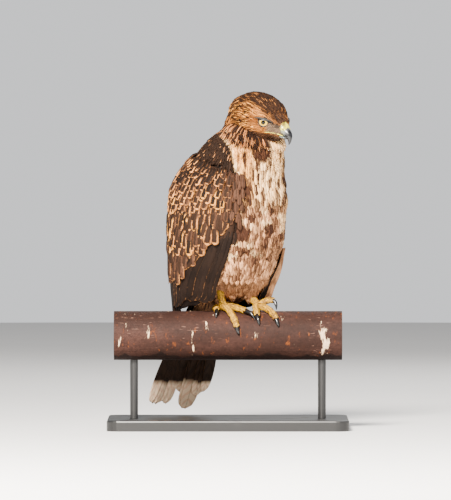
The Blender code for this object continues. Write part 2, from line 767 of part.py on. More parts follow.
def build_wing(side_name, side, edge, collection):
    """A folded wing that lies on the side and back and runs out past the base of the tail."""
    outer = []
    inner = []
    for i in range(WING_ROWS + 1):
        outer_row = []
        inner_row = []
        for j in range(WING_COLUMNS + 1):
            share = j / WING_COLUMNS
            foot = blend_rows(WING_FOOT, share)[0] * MM
            top = blend_rows(WING_TOP, share)[0] * MM
            height = foot + (top - foot) * i / WING_ROWS
            out = wing_thickness(edge, height, share)
            taper = 1.0 - ease(i / WING_ROWS / WING_FOOT_TAPER)
            inside = (out - WING_FOOT_THICKNESS) * taper - WING_INNER_SINK * (1.0 - taper)
            outer_row.append(wing_point(edge, side, height, share, out))
            inner_row.append(wing_point(edge, side, height, share, inside))
        outer.append(outer_row)
        inner.append(inner_row)
    name = "wing_" + side_name
    wing = add_object(name, sheet(name, outer, inner), collection, "brown_plumage")
    feathers = [sheet("feather", *grids) for grids in wing_vanes(edge, side)]
    combine(wing, feathers, "UNION", "MANIFOLD")
    thighs = [leg_tube("room", rows, LEG_SIDES, GAP) for rows in (RIGHT_THIGH, LEFT_THIGH)]
    combine(wing, [torso_mesh(GAP), neck_mesh(GAP)] + thighs, "DIFFERENCE", "MANIFOLD")
    return wing


def tail_place(left, share, out):
    """A point of the tail's plane: metres to the left, share of its length, metres out to its back."""
    length = TAIL_LENGTH * share
    forward = TAIL_ROOT_FORWARD - math.sin(TAIL_TILT) * length - math.cos(TAIL_TILT) * out
    height = TAIL_ROOT_HEIGHT - math.cos(TAIL_TILT) * length + math.sin(TAIL_TILT) * out
    return body_point(left, forward, height)


def tail_vane(index):
    """One tail feather, a flat layer under its inner neighbour."""
    middle = (TAIL_VANES - 1) / 2.0
    place = (index - middle) / middle
    layer = -(abs(index - middle) - 0.5) * TAIL_VANE_STEP
    if index > middle:
        layer += TAIL_VANE_STEP / 2.0
    grids = []
    for sign in (0.5, -0.5):
        grid = []
        for wide, along in TAIL_VANE_ROWS:
            row = []
            for j in (-1, 0, 1):
                reach = (along if j or wide != TAIL_VANE_ROWS[-1][0] else 1.0) * TAIL_VANE_LENGTHS[index]
                base = blend_rows(TAIL_WIDTHS, reach)[0] * MM
                left = place * TAIL_VANE_REACH * base + j * wide * TAIL_VANE_HALF_WIDTH
                thick = VANE_THICKNESS + (VANE_TIP_THICKNESS - VANE_THICKNESS) * along
                out = layer * min(1.0, 0.35 + reach) + sign * thick * MM
                row.append(tail_place(left, reach, out))
            grid.append(row)
        grids.append(grid)
    return sheet("feather", *grids)


def build_tail(collection):
    """The tail: a short core and its feathers, the middle pair over the others."""
    grids = []
    for sign in (0.5, -0.5):
        grid = []
        for i in range(TAIL_ROWS + 1):
            share = i / TAIL_ROWS * TAIL_CORE_SHARE
            thickness = TAIL_ROOT_THICKNESS + (TAIL_CORE_TIP_THICKNESS - TAIL_ROOT_THICKNESS) * i / TAIL_ROWS
            half_width = blend_rows(TAIL_WIDTHS, share)[0] * MM * TAIL_VANE_REACH
            row = []
            for j in range(TAIL_COLUMNS + 1):
                across = 2.0 * j / TAIL_COLUMNS - 1.0
                sag = TAIL_ARCH * across * across
                row.append(tail_place(half_width * across, share, thickness * sign - TAIL_CORE_DROP - sag))
            grid.append(row)
        grids.append(grid)
    tail = add_object("tail", sheet("tail", *grids), collection, "tail_plumage")
    combine(tail, [tail_vane(index) for index in range(TAIL_VANES)], "UNION", "MANIFOLD")
    combine(tail, [torso_mesh(GAP)], "DIFFERENCE", "MANIFOLD")
    return tail


def perch_point(across, back, height):
    """A point given along the perch, behind its axis and over it."""
    return PERCH + Vector((across, back, height))


def grip_point(across, turn, lift):
    """A point over the perch's skin, turned to the front from its top."""
    reach = PERCH_RADIUS + lift
    angle = math.radians(turn)
    return perch_point(across, -reach * math.sin(angle), reach * math.cos(angle))


def leg_tube(name, rows, sides, grow=0.0):
    """A leg piece along its centre line, larger by grow for cutting its neighbours."""
    points = [perch_point(*(value * MM for value in row[:3])) for row in rows]
    radii = [row[3] * MM + grow for row in rows]
    points[0] += (points[0] - points[1]).normalized() * grow
    points[-1] += (points[-1] - points[-2]).normalized() * grow
    return tube(name, points, radii, sides)


def toe_tube(name, rows, grow=0.0):
    """A toe or claw along the perch's skin."""
    points = [grip_point(row[0] * MM, row[1], row[2] * MM) for row in rows]
    radii = [row[3] * MM + grow for row in rows]
    points[-1] += (points[-1] - points[-2]).normalized() * grow
    return tube(name, points, radii, TOE_SIDES)


def claw_tube(name, toe_rows, claw_rows):
    """A claw that starts at the end of its toe, a hair's breadth from its face."""
    toe_end = grip_point(toe_rows[-1][0] * MM, toe_rows[-1][1], toe_rows[-1][2] * MM)
    before = grip_point(toe_rows[-2][0] * MM, toe_rows[-2][1], toe_rows[-2][2] * MM)
    along = (toe_end - before).normalized()
    points = [toe_end + along * GAP]
    radii = [toe_rows[-1][3] * MM * 0.86]
    for row in claw_rows:
        points.append(grip_point(row[0] * MM, row[1], row[2] * MM))
        radii.append(row[3] * MM)
    return tube(name, points, radii, TOE_SIDES)


def perch_room():
    """The perch made a gap larger, for cutting what rests on it."""
    reach = Vector((PERCH_LENGTH, 0, 0))
    return bar("perch_room", PERCH - reach, PERCH + reach, PERCH_RADIUS + GAP, PIPE_SIDES)


def build_leg(side_name, thigh_rows, tarsus_rows, toes, other_thighs, collection):
    """Feathered thigh, scaled tarsus and four toes with their claws."""
    pipe_room = perch_room()
    thigh_name = "thigh_" + side_name
    thigh = add_object(thigh_name, leg_tube(thigh_name, thigh_rows, LEG_SIDES), collection, "buff_plumage")
    rooms = [leg_tube("room", rows, LEG_SIDES, GAP) for rows in other_thighs]
    combine(thigh, [torso_mesh(GAP)] + rooms, "DIFFERENCE")
    tarsus_name = "tarsus_" + side_name
    tarsus_shape = leg_tube(tarsus_name, tarsus_rows, TARSUS_SIDES)
    tarsus = add_object(tarsus_name, tarsus_shape, collection, "yellow_skin")
    combine(tarsus, [leg_tube("room", thigh_rows, LEG_SIDES, GAP), torso_mesh(GAP)], "DIFFERENCE")
    done = [leg_tube("room", tarsus_rows, TARSUS_SIDES, GAP)]
    for toe_name in TOE_ORDER:
        toe_rows, claw_rows = toes[toe_name]
        name = "toe_" + side_name + "_" + toe_name
        toe = add_object(name, toe_tube(name, toe_rows), collection, "yellow_skin")
        combine(toe, [mesh.copy() for mesh in done] + [pipe_room.copy()], "DIFFERENCE")
        done.append(toe_tube("room", toe_rows, GAP))
        claw_name = "claw_" + side_name + "_" + toe_name
        claw = add_object(claw_name, claw_tube(claw_name, toe_rows, claw_rows), collection, "horn")
        combine(claw, [pipe_room.copy(), toe_tube("room", toe_rows, GAP)], "DIFFERENCE")


def build_perch(collection):
    """A cut length of pipe, open at both ends."""
    start = PERCH - Vector((PERCH_LENGTH / 2.0, 0, 0))
    end = PERCH + Vector((PERCH_LENGTH / 2.0, 0, 0))
    skin = bar("perch_pipe", start, end, PERCH_RADIUS, PIPE_SIDES)
    pipe = add_object("perch_pipe", skin, collection, "rusted_steel")
    past = Vector((0.01, 0, 0))
    bore = bar("bore", start - past, end + past, PERCH_RADIUS - PERCH_WALL, PIPE_SIDES)
    combine(pipe, [bore], "DIFFERENCE")


def is_rim(edge):
    """Whether an edge lies between a top face and an upright one."""
    slopes = [abs(face.normal.z) for face in edge.link_faces]
    return len(slopes) == 2 and min(slopes) < 0.5 < max(slopes)


def build_stand(collection):
    """A flat base and two short rods up to the perch."""
    mesh = bmesh.new()
    bmesh.ops.create_cube(mesh, size=1.0)
    bmesh.ops.scale(mesh, verts=mesh.verts, vec=(BASE_LENGTH, BASE_WIDTH, BASE_HEIGHT))
    bmesh.ops.translate(mesh, verts=mesh.verts, vec=(0.0, 0.0, BASE_HEIGHT / 2.0))
    uprights = [e for e in mesh.edges if abs(e.verts[0].co.z - e.verts[1].co.z) > BASE_HEIGHT / 2.0]
    bmesh.ops.bevel(mesh, geom=uprights, offset=BASE_CORNER, segments=6, affect="EDGES", profile=0.5)
    rim = [e for e in mesh.edges if min(v.co.z for v in e.verts) > BASE_HEIGHT - MM and is_rim(e)]
    bmesh.ops.bevel(mesh, geom=rim, offset=BASE_EDGE, segments=2, affect="EDGES", profile=0.5)
    add_object("stand_base", finish_mesh("stand_base", mesh), collection, "stand_paint")
    for name, across in (("stand_rod_left", -ROD_X), ("stand_rod_right", ROD_X)):
        foot = Vector((across, PERCH_Y, BASE_HEIGHT + GAP))
        head = Vector((across, PERCH_Y, PERCH_Z - PERCH_RADIUS + ROD_RADIUS))
        rod = add_object(name, bar(name, foot, head, ROD_RADIUS, 24), collection, "stand_paint")
        combine(rod, [perch_room()], "DIFFERENCE")


def shade(collection):
    """Smooth shading with the real edges kept sharp."""
    for item in collection.objects:
        item.data.shade_smooth()
        item.data.set_sharp_from_angle(angle=math.radians(35.0))


def main():
    """Build the hawk, its perch and its stand."""
    clear_scene()
    hawk = make_collection("red_tailed_hawk")
    build_stand(hawk)
    build_perch(hawk)
    add_object("torso", torso_mesh(), hawk, "cream_plumage")
    neck = add_object("neck", neck_mesh(), hawk, "buff_plumage")
    combine(neck, [head_mesh(GAP)], "DIFFERENCE")
    build_head(hawk)
    build_bill(hawk)
    for side_name, side in (("right", -1), ("left", 1)):
        name = "eye_" + side_name
        add_object(name, ball(name, eye_centre(side), EYE_RADIUS), hawk, "eye")
    build_wing("right", 1, RIGHT_WING_EDGE, hawk)
    build_wing("left", -1, LEFT_WING_EDGE, hawk)
    build_tail(hawk)
    build_leg("right", RIGHT_THIGH, RIGHT_TARSUS, RIGHT_TOES, [], hawk)
    build_leg("left", LEFT_THIGH, LEFT_TARSUS, LEFT_TOES, [RIGHT_THIGH], hawk)
    shade(hawk)


main()
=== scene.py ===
"""The looks of a life-size perched red-tailed hawk on a cut length of rusted pipe.

Lengths are millimetres, measured as in the part: the bird from the pipe's axis, its head from the
head's own centre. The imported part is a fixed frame, and every piece rides on its one body.
"""

import logging
import math
from dataclasses import dataclass, field
from enum import Enum

import bmesh
import bpy
import numpy as np
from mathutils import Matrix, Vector


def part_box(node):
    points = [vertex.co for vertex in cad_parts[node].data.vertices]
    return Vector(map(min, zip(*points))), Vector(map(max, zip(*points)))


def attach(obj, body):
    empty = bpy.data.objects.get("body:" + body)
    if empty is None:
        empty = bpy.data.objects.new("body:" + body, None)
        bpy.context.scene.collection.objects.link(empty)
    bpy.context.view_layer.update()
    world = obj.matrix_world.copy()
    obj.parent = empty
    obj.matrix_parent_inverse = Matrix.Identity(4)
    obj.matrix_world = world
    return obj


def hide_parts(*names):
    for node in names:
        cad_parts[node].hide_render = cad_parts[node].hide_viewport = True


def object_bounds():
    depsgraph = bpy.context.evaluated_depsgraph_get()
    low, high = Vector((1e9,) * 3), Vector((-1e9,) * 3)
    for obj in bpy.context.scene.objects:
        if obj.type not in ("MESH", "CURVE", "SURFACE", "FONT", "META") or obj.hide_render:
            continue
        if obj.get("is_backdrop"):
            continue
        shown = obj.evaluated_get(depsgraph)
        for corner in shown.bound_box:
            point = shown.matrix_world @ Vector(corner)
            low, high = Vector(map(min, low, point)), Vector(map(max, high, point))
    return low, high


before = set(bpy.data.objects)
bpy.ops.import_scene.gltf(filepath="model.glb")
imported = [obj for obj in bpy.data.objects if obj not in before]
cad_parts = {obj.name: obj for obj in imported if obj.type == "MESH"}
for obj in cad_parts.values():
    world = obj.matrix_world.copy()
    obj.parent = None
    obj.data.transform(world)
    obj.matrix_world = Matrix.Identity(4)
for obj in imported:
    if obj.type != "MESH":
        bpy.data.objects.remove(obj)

Array = np.ndarray
log = logging.getLogger("hawk")

BODY_NAME = "root"
CAD_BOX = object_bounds()
MM = 0.001

# The perch and the way the bird faces, from the frame
PIPE_LOW, PIPE_HIGH = (np.array(corner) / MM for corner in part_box("perch_pipe"))
PERCH = (PIPE_LOW + PIPE_HIGH) / 2.0
PERCH_RADIUS = (PIPE_HIGH[2] - PIPE_LOW[2]) / 2.0
BODY_YAW = math.radians(45.0)
BODY_BEHIND_PERCH = 20.0
HEAD_YAW = math.radians(50.0)
HEAD_PITCH = math.radians(16.0)
HEAD_PLACE = (49.5, -18.0, 323.8)

# Sections of the body: height over the perch, half width, front, back, widest line, lean
BREAST_AND_NECK = [
    (127, 71, 78, -80, -4, 0),
    (150, 74, 86, -80, -2, 0),
    (187, 75, 89, -79, 0, 0),
    (210, 75, 90, -76, 3, 0),
    (232, 70, 88, -70, 8, 0),
    (254, 63, 90, -58, 14, 1),
    (268, 58, 91, -47, 22, 2),
    (280, 53, 91, -37, 31, 3),
    (292, 49, 90, -25, 41, 5),
    (306, 44, 84, -8, 50, 7),
    (318, 39, 78, -1, 54, 9),
    (330, 31, 72, 8, 56, 9),
]
BELLY = [
    (47, 12, -8, -30, -18, 8),
    (51, 20, 4, -40, -16, 8),
    (59, 29, 22, -52, -14, 6),
    (68, 40, 40, -62, -11, 4),
    (83, 55, 57, -70, -8, 1.5),
    (105, 66, 70, -77, -6, 0),
]
WING_BED = [
    (-30, 36, -44, -92, -66, 0),
    (-12, 39, -34, -90, -59, 0),
    (5, 42, -20, -88, -52, 0),
    (45, 56, 28, -87, -28, 0),
    (75, 64, 48, -83, -18, 0),
    (105, 69, 68, -79, -8, 0),
]
FRONT_SQUARENESS = 2.4
BACK_SQUARENESS = 2.0

# Sections of the head: forward, middle's height, half width, half height
HEAD_SECTIONS = [
    (-51, -4, 6, 6),
    (-49, -4, 13, 13),
    (-42, -3, 23, 24),
    (-30, -2, 31, 32),
    (-15, -1, 36, 36.5),
    (2, -1, 37.5, 36.5),
    (16, -2, 35.5, 33),
    (27, -3, 31, 27),
    (36, -4.5, 24, 19),
    (42, -4.6, 16.5, 15.8),
    (46, -4.4, 11.2, 12.4),
    (49, -3.4, 9.6, 9.3),
]
HEAD_SQUARENESS = 2.25
CERE_SECTIONS = [
    (43.5, -1.6, 10.2, 9.6),
    (46.3, -2.0, 9.9, 9.3),
    (50.0, -3.6, 8.7, 8.4),
    (54.0, -6.2, 7.25, 6.7),
]
# Sections of the hooked bill: key, forward, height, slope down in degrees, half width and height
UPPER_BILL_SECTIONS = [
    (0.0, 53.2, -6.2, 0, 7.1, 6.6),
    (0.22, 56.6, -8.0, 22, 6.1, 5.3),
    (0.45, 59.8, -11.4, 55, 4.6, 4.2),
    (0.66, 61.4, -16.0, 80, 3.1, 3.0),
    (0.84, 62.3, -19.9, 95, 1.8, 1.8),
    (1.0, 61.9, -23.5, 100, 0.35, 0.4),
]
LOWER_BILL_SECTIONS = [
    (45.0, -14.8, 7.0, 2.4),
    (50.0, -15.1, 5.8, 2.2),
    (54.0, -15.3, 4.2, 1.8),
    (57.2, -15.2, 1.5, 0.8),
]
EYE_RADIUS = 9.4
EYE_FORWARD = 28.2
EYE_HEIGHT = 1.7
EYE_DEPTH = 7.7
EYE_TURN = math.radians(34.0)

# The folded wing, as turns round the body from the breast, in degrees, and thicknesses
RIGHT_WING_EDGE = [
    (45, 52), (68, 53), (98, 53), (135, 47), (160, 43), (178, 42), (190, 38), (236, 36),
    (262, 50), (276, 70),
]
LEFT_WING_EDGE = [
    (45, 25), (75, 29), (110, 43), (140, 60), (190, 66), (236, 66), (262, 72), (276, 84),
]
WING_BACK_TURN = 178.0
WING_TOP = [(0.0, 236), (0.3, 254), (0.6, 266), (1.0, 274)]
WING_FOOT = [(0.0, 104), (0.3, 92), (0.55, 84), (0.8, 62), (1.0, 58)]
WING_THICKNESS = [
    (-30, 2.2), (5, 4), (45, 6), (75, 9), (105, 11.5), (130, 11), (210, 10), (240, 9),
    (262, 6), (280, 2.5),
]

# The tail: root, tilt, length and half widths
TAIL_ROOT_FORWARD = -38.0
TAIL_ROOT_HEIGHT = 79.0
TAIL_TILT = math.radians(23.4)
TAIL_LENGTH = 205.4
TAIL_WIDTHS = [(0.0, 13), (0.3, 32), (0.45, 43), (0.6, 53), (0.75, 58), (1.0, 60)]
TAIL_FEATHER_LENGTHS = [
    0.94, 0.955, 0.965, 0.955, 0.965, 0.975, 0.88, 1.01, 1.02, 0.91, 0.885, 0.87,
]
# Where each tail feather lies, as a share of half the tail's width, and its own half width
TAIL_SPREADS = [-0.90, -0.80, -0.68, -0.54, -0.33, -0.23, 0.14, 0.38, 0.46, 0.66, 0.78, 0.86]
TAIL_HALF_WIDTHS = [10, 11, 11, 12, 10, 10, 17, 16.5, 17.5, 14, 12, 11]

# The legs: centre line over the perch (across, back, height) and radius
RIGHT_THIGH = [
    (0, -6, 104, 24), (0, -5, 92, 29), (2, -2, 78, 24), (6, -3, 66, 17), (8.5, -3, 54, 11),
]
LEFT_THIGH = [
    (36, 6, 102, 24), (36, 5, 90, 28), (34, 6, 75, 24), (31.5, 7, 62, 18), (31, 7, 53, 12),
]
RIGHT_TARSUS = [
    (-9.0, -2, 80, 5.2), (-10.5, -0.5, 66, 5.2), (-9.6, 1, 56, 4.8), (-7.8, 3, 48, 5.2), (-7.5, 4, 43.6, 6.6),
]
LEFT_TARSUS = [(30, 7.5, 66, 5.2), (35, 6, 57, 4.8), (41, 4.5, 49, 5.2), (43, 4, 43.6, 6.6)]
# Each toe: along the perch, turn to the front in degrees, height of its middle over the
# perch's skin and radius, then its claw in the same terms, out to its point
RIGHT_TOES = {
    "middle": (
        [(-7.5, -5, 7, 5.0), (-3, 12, 6, 4.8), (4, 35, 5.2, 4.4), (9, 53, 5, 4.6), (12.5, 68, 4.6, 3.9)],
        [(13.6, 74, 4.7, 3.0), (15.4, 82, 4.2, 2.1), (16.6, 87.5, 1.2, 0.5)],
    ),
    "inner": (
        [(-7.5, -5, 7, 5.0), (4, 4, 6.2, 4.9), (15, 15, 5.4, 4.6), (24.6, 26, 5.2, 4.2)],
        [(28.5, 31, 6.0, 3.4), (34, 38, 6.4, 2.7), (38.3, 46, 4.2, 1.7), (39.8, 52, 1.2, 0.5)],
    ),
    "outer": (
        [(-7.5, -5, 7, 5.0), (-14, -2, 6.2, 4.4), (-18, 9, 5.2, 4.2), (-17, 23, 4.8, 3.8)],
        [(-16.8, 30, 4.8, 2.9), (-17.4, 38, 4.0, 2.0), (-18, 44, 1.2, 0.5)],
    ),
    "hind": (
        [(-7.5, -5, 7, 5.0), (-6, -26, 6, 4.8), (-4, -46, 5.4, 4.5), (-2.5, -62, 5.2, 4.1)],
        [(-1.4, -72, 6.0, 3.3), (0.4, -88, 6.4, 2.6), (1.6, -103, 4.4, 1.6), (2, -112, 1.3, 0.5)],
    ),
}
LEFT_TOES = {
    "inner": (
        [(43, -5, 7, 5.0), (41.5, 10, 6, 4.7), (42, 27, 5.4, 4.5), (43, 42, 5, 4.0)],
        [(43.8, 49, 5.4, 3.1), (45.4, 58, 4.6, 2.2), (46.5, 65, 1.2, 0.5)],
    ),
    "middle": (
        [(43, -5, 7, 5.0), (52, 8, 6.2, 4.8), (60, 22, 5.4, 4.4), (66.5, 37, 5, 4.5), (70.8, 50, 4.7, 3.9)],
        [(72.3, 56, 4.9, 3.0), (74.3, 64, 4.0, 2.0), (75.5, 69.5, 1.2, 0.5)],
    ),
    "outer": (
        [(43, -5, 7, 5.0), (51, -6, 11.5, 4.6), (59, -6, 15.5, 4.3), (66.8, -5, 16, 3.9)],
        [(69.8, -3, 13.5, 3.0), (71.8, 0, 8.5, 2.1), (72.2, 3, 2.0, 0.6)],
    ),
    "hind": (
        [(43, -5, 7, 5.0), (44, -26, 6, 4.8), (45.5, -46, 5.4, 4.5), (46.5, -62, 5.2, 4.1)],
        [(47, -72, 6.0, 3.3), (47.6, -88, 6.4, 2.6), (48, -103, 4.4, 1.6), (48, -112, 1.3, 0.5)],
    ),
}

# Marks of the breast and belly: across, height over the perch, half width, half height, depth
DARK_MARKS = [
    (8, 285, 2.4, 3.6, 0.8), (25, 281, 4.8, 3.6, 0.9), (34, 280, 2.7, 4.2, 0.9),
    (25, 262, 3.3, 10.4, 0.9), (48, 270, 14.2, 11.2, 1), (42, 254, 3, 7.5, 0.9), (59, 256, 3, 8.2, 0.9),
    (50, 238, 2.1, 10.4, 0.6), (60, 235, 2.1, 7.5, 0.9), (43, 235, 1.5, 11.2, 0.9),
    (77, 237, 3.3, 7.5, 0.9), (84, 244, 1.8, 10.4, 0.8), (81, 226, 2.1, 6.7, 0.9),
    (25, 241, 3, 7.5, 0.7), (24, 221, 5.4, 14.9, 1), (31, 206, 4.5, 6.7, 0.9), (26, 197, 3, 6, 0.8),
    (41, 224, 2.2, 3.3, 0.8), (40, 217, 3, 7.5, 0.9), (47, 207, 1.8, 6, 0.8), (71, 224, 2.1, 11.9, 0.8),
    (68, 211, 1.6, 6.7, 0.7), (80, 208, 2.5, 7.5, 0.9), (85, 199, 2.2, 7.5, 0.9),
    (41, 197, 3, 7.5, 0.7), (64, 199, 2.2, 6, 0.8), (28, 214, 6.5, 15, 0.9), (50, 207, 3, 10, 0.8),
    (78, 236, 3, 12, 0.9), (82, 216, 3, 11, 0.8), (70, 204, 3, 9, 0.7), (36, 240, 2.4, 12, 0.8),
    (58, 222, 2.2, 12, 0.7), (63, 190, 9, 5, 0.6), (77, 258, 2, 9, 0.7), (66, 246, 1.6, 9, 0.6), (59, 193, 4.2, 5.1, 0.9), (69, 186, 2.2, 4.5, 0.8),
    (75, 194, 2.4, 5.2, 0.7), (21, 156, 11.9, 8.9, 1), (19, 145, 6, 6, 1), (34, 177, 6.7, 6.7, 0.85),
    (60, 188, 4.5, 6, 0.8), (57, 159, 7.5, 8.9, 0.95), (52, 139, 6.7, 6.7, 0.85),
    (21, 131, 14.9, 3.3, 1), (21, 126, 4.5, 4.5, 0.8), (36, 112, 6, 8.2, 0.75), (16, 114, 11.9, 3, 0.6),
    (16, 95, 8.9, 8.9, 0.45), (74, 151, 3.7, 6.7, 0.8), (84, 154, 2.7, 7.5, 0.8),
    (11, 177, 3.7, 7.5, 0.5), (25, 187, 6, 6, 0.6), (45, 183, 4.5, 6, 0.6), (64, 169, 4.5, 6, 0.5),
    (66, 142, 4.5, 6, 0.6), (45, 124, 6, 4.5, 0.6), (57, 118, 6, 4.5, 0.5), (30, 141, 4.5, 3, 0.7),
    (34, 248, 2.2, 9, 0.6), (16, 262, 1.5, 12, 0.6), (17, 243, 2.1, 9, 0.7), (54, 247, 1.6, 9, 0.7),
    (31, 232, 1.8, 8, 0.6), (84, 265, 1.8, 8, 0.7), (73, 268, 1.8, 9, 0.7), (78, 202, 2.2, 8, 0.8),
]
PALE_MARKS = [
    (16, 168, 10.4, 4.8, 1), (54, 168, 10.4, 5.1, 1), (76, 177, 7.5, 6, 1), (6, 121, 8.9, 5.1, 1),
    (37, 125, 14.9, 3.6, 1), (13, 140, 7.5, 3.6, 0.9), (29, 140, 6, 3.6, 0.9), (76, 162, 3.7, 6.7, 0.9),
    (80, 141, 3.7, 6, 0.9), (36, 163, 4.5, 4.5, 0.6), (18, 188, 6, 5.2, 0.8), (51, 186, 6, 4.5, 0.7),
]
# Where the folded wing's shoulder ends and the breast starts: height over the perch, across
SHOULDER_LINE = [(180, 14), (232, 13.5), (250, 12), (263, 9), (278, 6), (293, -5), (300, -14)]
# Where the collar ends over the breast: across, height over the perch
COLLAR_LINE = [(-30, 304), (-5, 292), (12, 281), (28, 277), (52, 276), (60, 279), (70, 285), (84, 292)]
# Where the trousers end beside the right tarsus: height over the perch, across
TROUSER_LINE = [(40, 12), (44, 9), (53, 1.5), (68, -3), (87, -12), (100, -40)]
# Where the dark crown starts: forward and up from the head's centre
CROWN_LINE = [(-50, 16), (-40, 18), (-23, 20), (-4, 22), (12, 20.5), (23, 16), (31, 12), (37, 7), (43, 4), (48, 2)]
# The render's tone curve is soft, so colours are made this much deeper
# What the studio's light does to a pale surface, for each colour
LIT = (2.70, 2.53, 2.31)


class Side(Enum):
    """A side of the bird: 1 for its right, -1 for its left."""

    RIGHT = 1
    LEFT = -1


class Tuft(Enum):
    """The shapes of small feather."""

    CONTOUR = "contour"
    HACKLE = "hackle"
    DOWN = "down"
    COVERT = "covert"
    SCALE = "scale"


class ViewCurve:
    """The renderer's view transform run backwards, from a colour on screen to one of a surface."""

    BLACK = -12.47393
    WHITE = 4.026069
    CURVE = (15.5, -40.14, 31.96, -6.868, 0.4298, 0.1191, -0.00232)
    TO_WIDE = ((0.6274, 0.3293, 0.0433), (0.0691, 0.9195, 0.0113), (0.0164, 0.0880, 0.8956))
    MIXED = (
        (0.856627, 0.095121, 0.048252), (0.137319, 0.761242, 0.101439), (0.111898, 0.076799, 0.811302),
    )
    SPREAD = (
        (1.127101, -0.110607, -0.016494), (-0.141330, 1.157824, -0.016494), (-0.141330, -0.110607, 1.251936),
    )

    def surface(self, shown: Array) -> Array:
        """The surface colour that shows as a linear screen colour under the studio's light."""
        wide = np.array(self.TO_WIDE)
        share = np.linspace(0.0, 1.0, 400)
        curve = np.maximum.accumulate(np.polyval(self.CURVE, share))
        signal = np.maximum(wide @ shown, 0.0) ** (1.0 / 2.2)
        signal = np.clip(np.linalg.solve(np.array(self.SPREAD), signal), 0.0, 1.0)
        level = np.interp(signal, curve, share)
        light = 2.0 ** (self.BLACK + level * (self.WHITE - self.BLACK))
        light = np.linalg.solve(wide, np.linalg.solve(np.array(self.MIXED), light))
        return light / np.array(LIT)


def linear(red: int, green: int, blue: int) -> tuple[float, float, float]:
    """The surface colour that shows as a display colour, 0 to 255, in the studio's light.

    Args:
        red: Display red.
        green: Display green.
        blue: Display blue.

    Returns:
        The linear colour for a shader.
    """
    share = np.array((red, green, blue)) / 255.0
    shown = np.where(share <= 0.04045, share / 12.92, ((share + 0.055) / 1.055) ** 2.4)
    return tuple(float(value) for value in np.clip(ViewCurve().surface(shown), 0.003, 0.94))


def unit(vectors: Array) -> Array:
    """Vectors scaled to a length of one."""
    return vectors / np.maximum(np.linalg.norm(vectors, axis=-1, keepdims=True), 1e-9)


def signed_power(value: Array, power: Array | float) -> Array:
    """A number's size raised to a power, with its sign kept."""
    return np.sign(value) * np.abs(value) ** power


def ease(value: Array) -> Array:
    """A soft step from 0 to 1."""
    value = np.clip(value, 0.0, 1.0)
    return value * value * (3.0 - 2.0 * value)


def window(value: Array, low: float, high: float, soft: float) -> Array:
    """1 between two bounds, falling softly to 0 outside them.

    Args:
        value: What is tested.
        low: Lower bound.
        high: Upper bound.
        soft: Distance over which it falls.

    Returns:
        A share from 0 to 1 for each value.
    """
    return ease((value - low) / soft + 0.5) * ease((high - value) / soft + 0.5)


def blend(start: Array, end: Array, share: Array) -> Array:
    """Colours or sizes between two, by a share for each row."""
    share = np.asarray(share)
    if np.ndim(end) > np.ndim(share) or np.ndim(start) > np.ndim(share):
        share = share[..., None]
    return np.asarray(start) * (1.0 - share) + np.asarray(end) * share


def read_rows(rows: list[tuple], keys: Array) -> Array:
    """Read a table smoothly between its rows. A row's first entry is its key.

    Args:
        rows: The table.
        keys: Where to read it.

    Returns:
        The other columns at each key, along a last axis.
    """
    table = np.array(rows, dtype=float)
    keys = np.asarray(keys, dtype=float)
    place = np.clip(keys.ravel(), table[0, 0], table[-1, 0])
    at = table[:, 0]
    low = np.clip(np.searchsorted(at, place, side="right") - 1, 0, len(at) - 2)
    before = np.maximum(low - 1, 0)
    after = np.minimum(low + 2, len(at) - 1)
    span = (at[low + 1] - at[low])[:, None]
    part = (place - at[low])[:, None] / span
    start = table[low, 1:]
    end = table[low + 1, 1:]
    slope_in = (end - table[before, 1:]) / (at[low + 1] - at[before])[:, None] * span
    slope_out = (table[after, 1:] - start) / (at[after] - at[low])[:, None] * span
    square = part * part
    cube = square * part
    result = (
        start * (2 * cube - 3 * square + 1)
        + slope_in * (cube - 2 * square + part)
        + end * (3 * square - 2 * cube)
        + slope_out * (cube - square)
    )
    return result.reshape(keys.shape + (table.shape[1] - 1,))


@dataclass(frozen=True)
class Directions:
    """A point to measure from and the directions forward, left and up."""

    origin: Array
    forward: Array
    left: Array
    up: Array

    def place(self, forward: Array, left: Array, up: Array) -> Array:
        """Points at these distances forward, left and up."""
        forward, left, up = np.broadcast_arrays(forward, left, up)
        return (
            self.origin
            + forward[..., None] * self.forward
            + left[..., None] * self.left
            + up[..., None] * self.up
        )

    def read(self, points: Array) -> tuple[Array, Array, Array]:
        """The distances forward, left and up of points."""
        away = points - self.origin
        return away @ self.forward, away @ self.left, away @ self.up


def body_directions() -> Directions:
    """The bird's own directions, from a point over the perch."""
    forward = np.array((math.sin(BODY_YAW), -math.cos(BODY_YAW), 0.0))
    left = np.array((math.cos(BODY_YAW), math.sin(BODY_YAW), 0.0))
    return Directions(PERCH + np.array((0.0, BODY_BEHIND_PERCH, 0.0)), forward, left, np.array((0, 0, 1.0)))


def head_directions() -> Directions:
    """The head's own directions, from its centre."""
    flat = math.cos(HEAD_PITCH)
    forward = np.array((flat * math.sin(HEAD_YAW), -flat * math.cos(HEAD_YAW), -math.sin(HEAD_PITCH)))
    left = np.array((math.cos(HEAD_YAW), math.sin(HEAD_YAW), 0.0))
    return Directions(PERCH + np.array(HEAD_PLACE), forward, left, np.cross(forward, left))


BIRD = body_directions()
HEAD = head_directions()
DOWN = np.array((0.0, 0.0, -1.0))


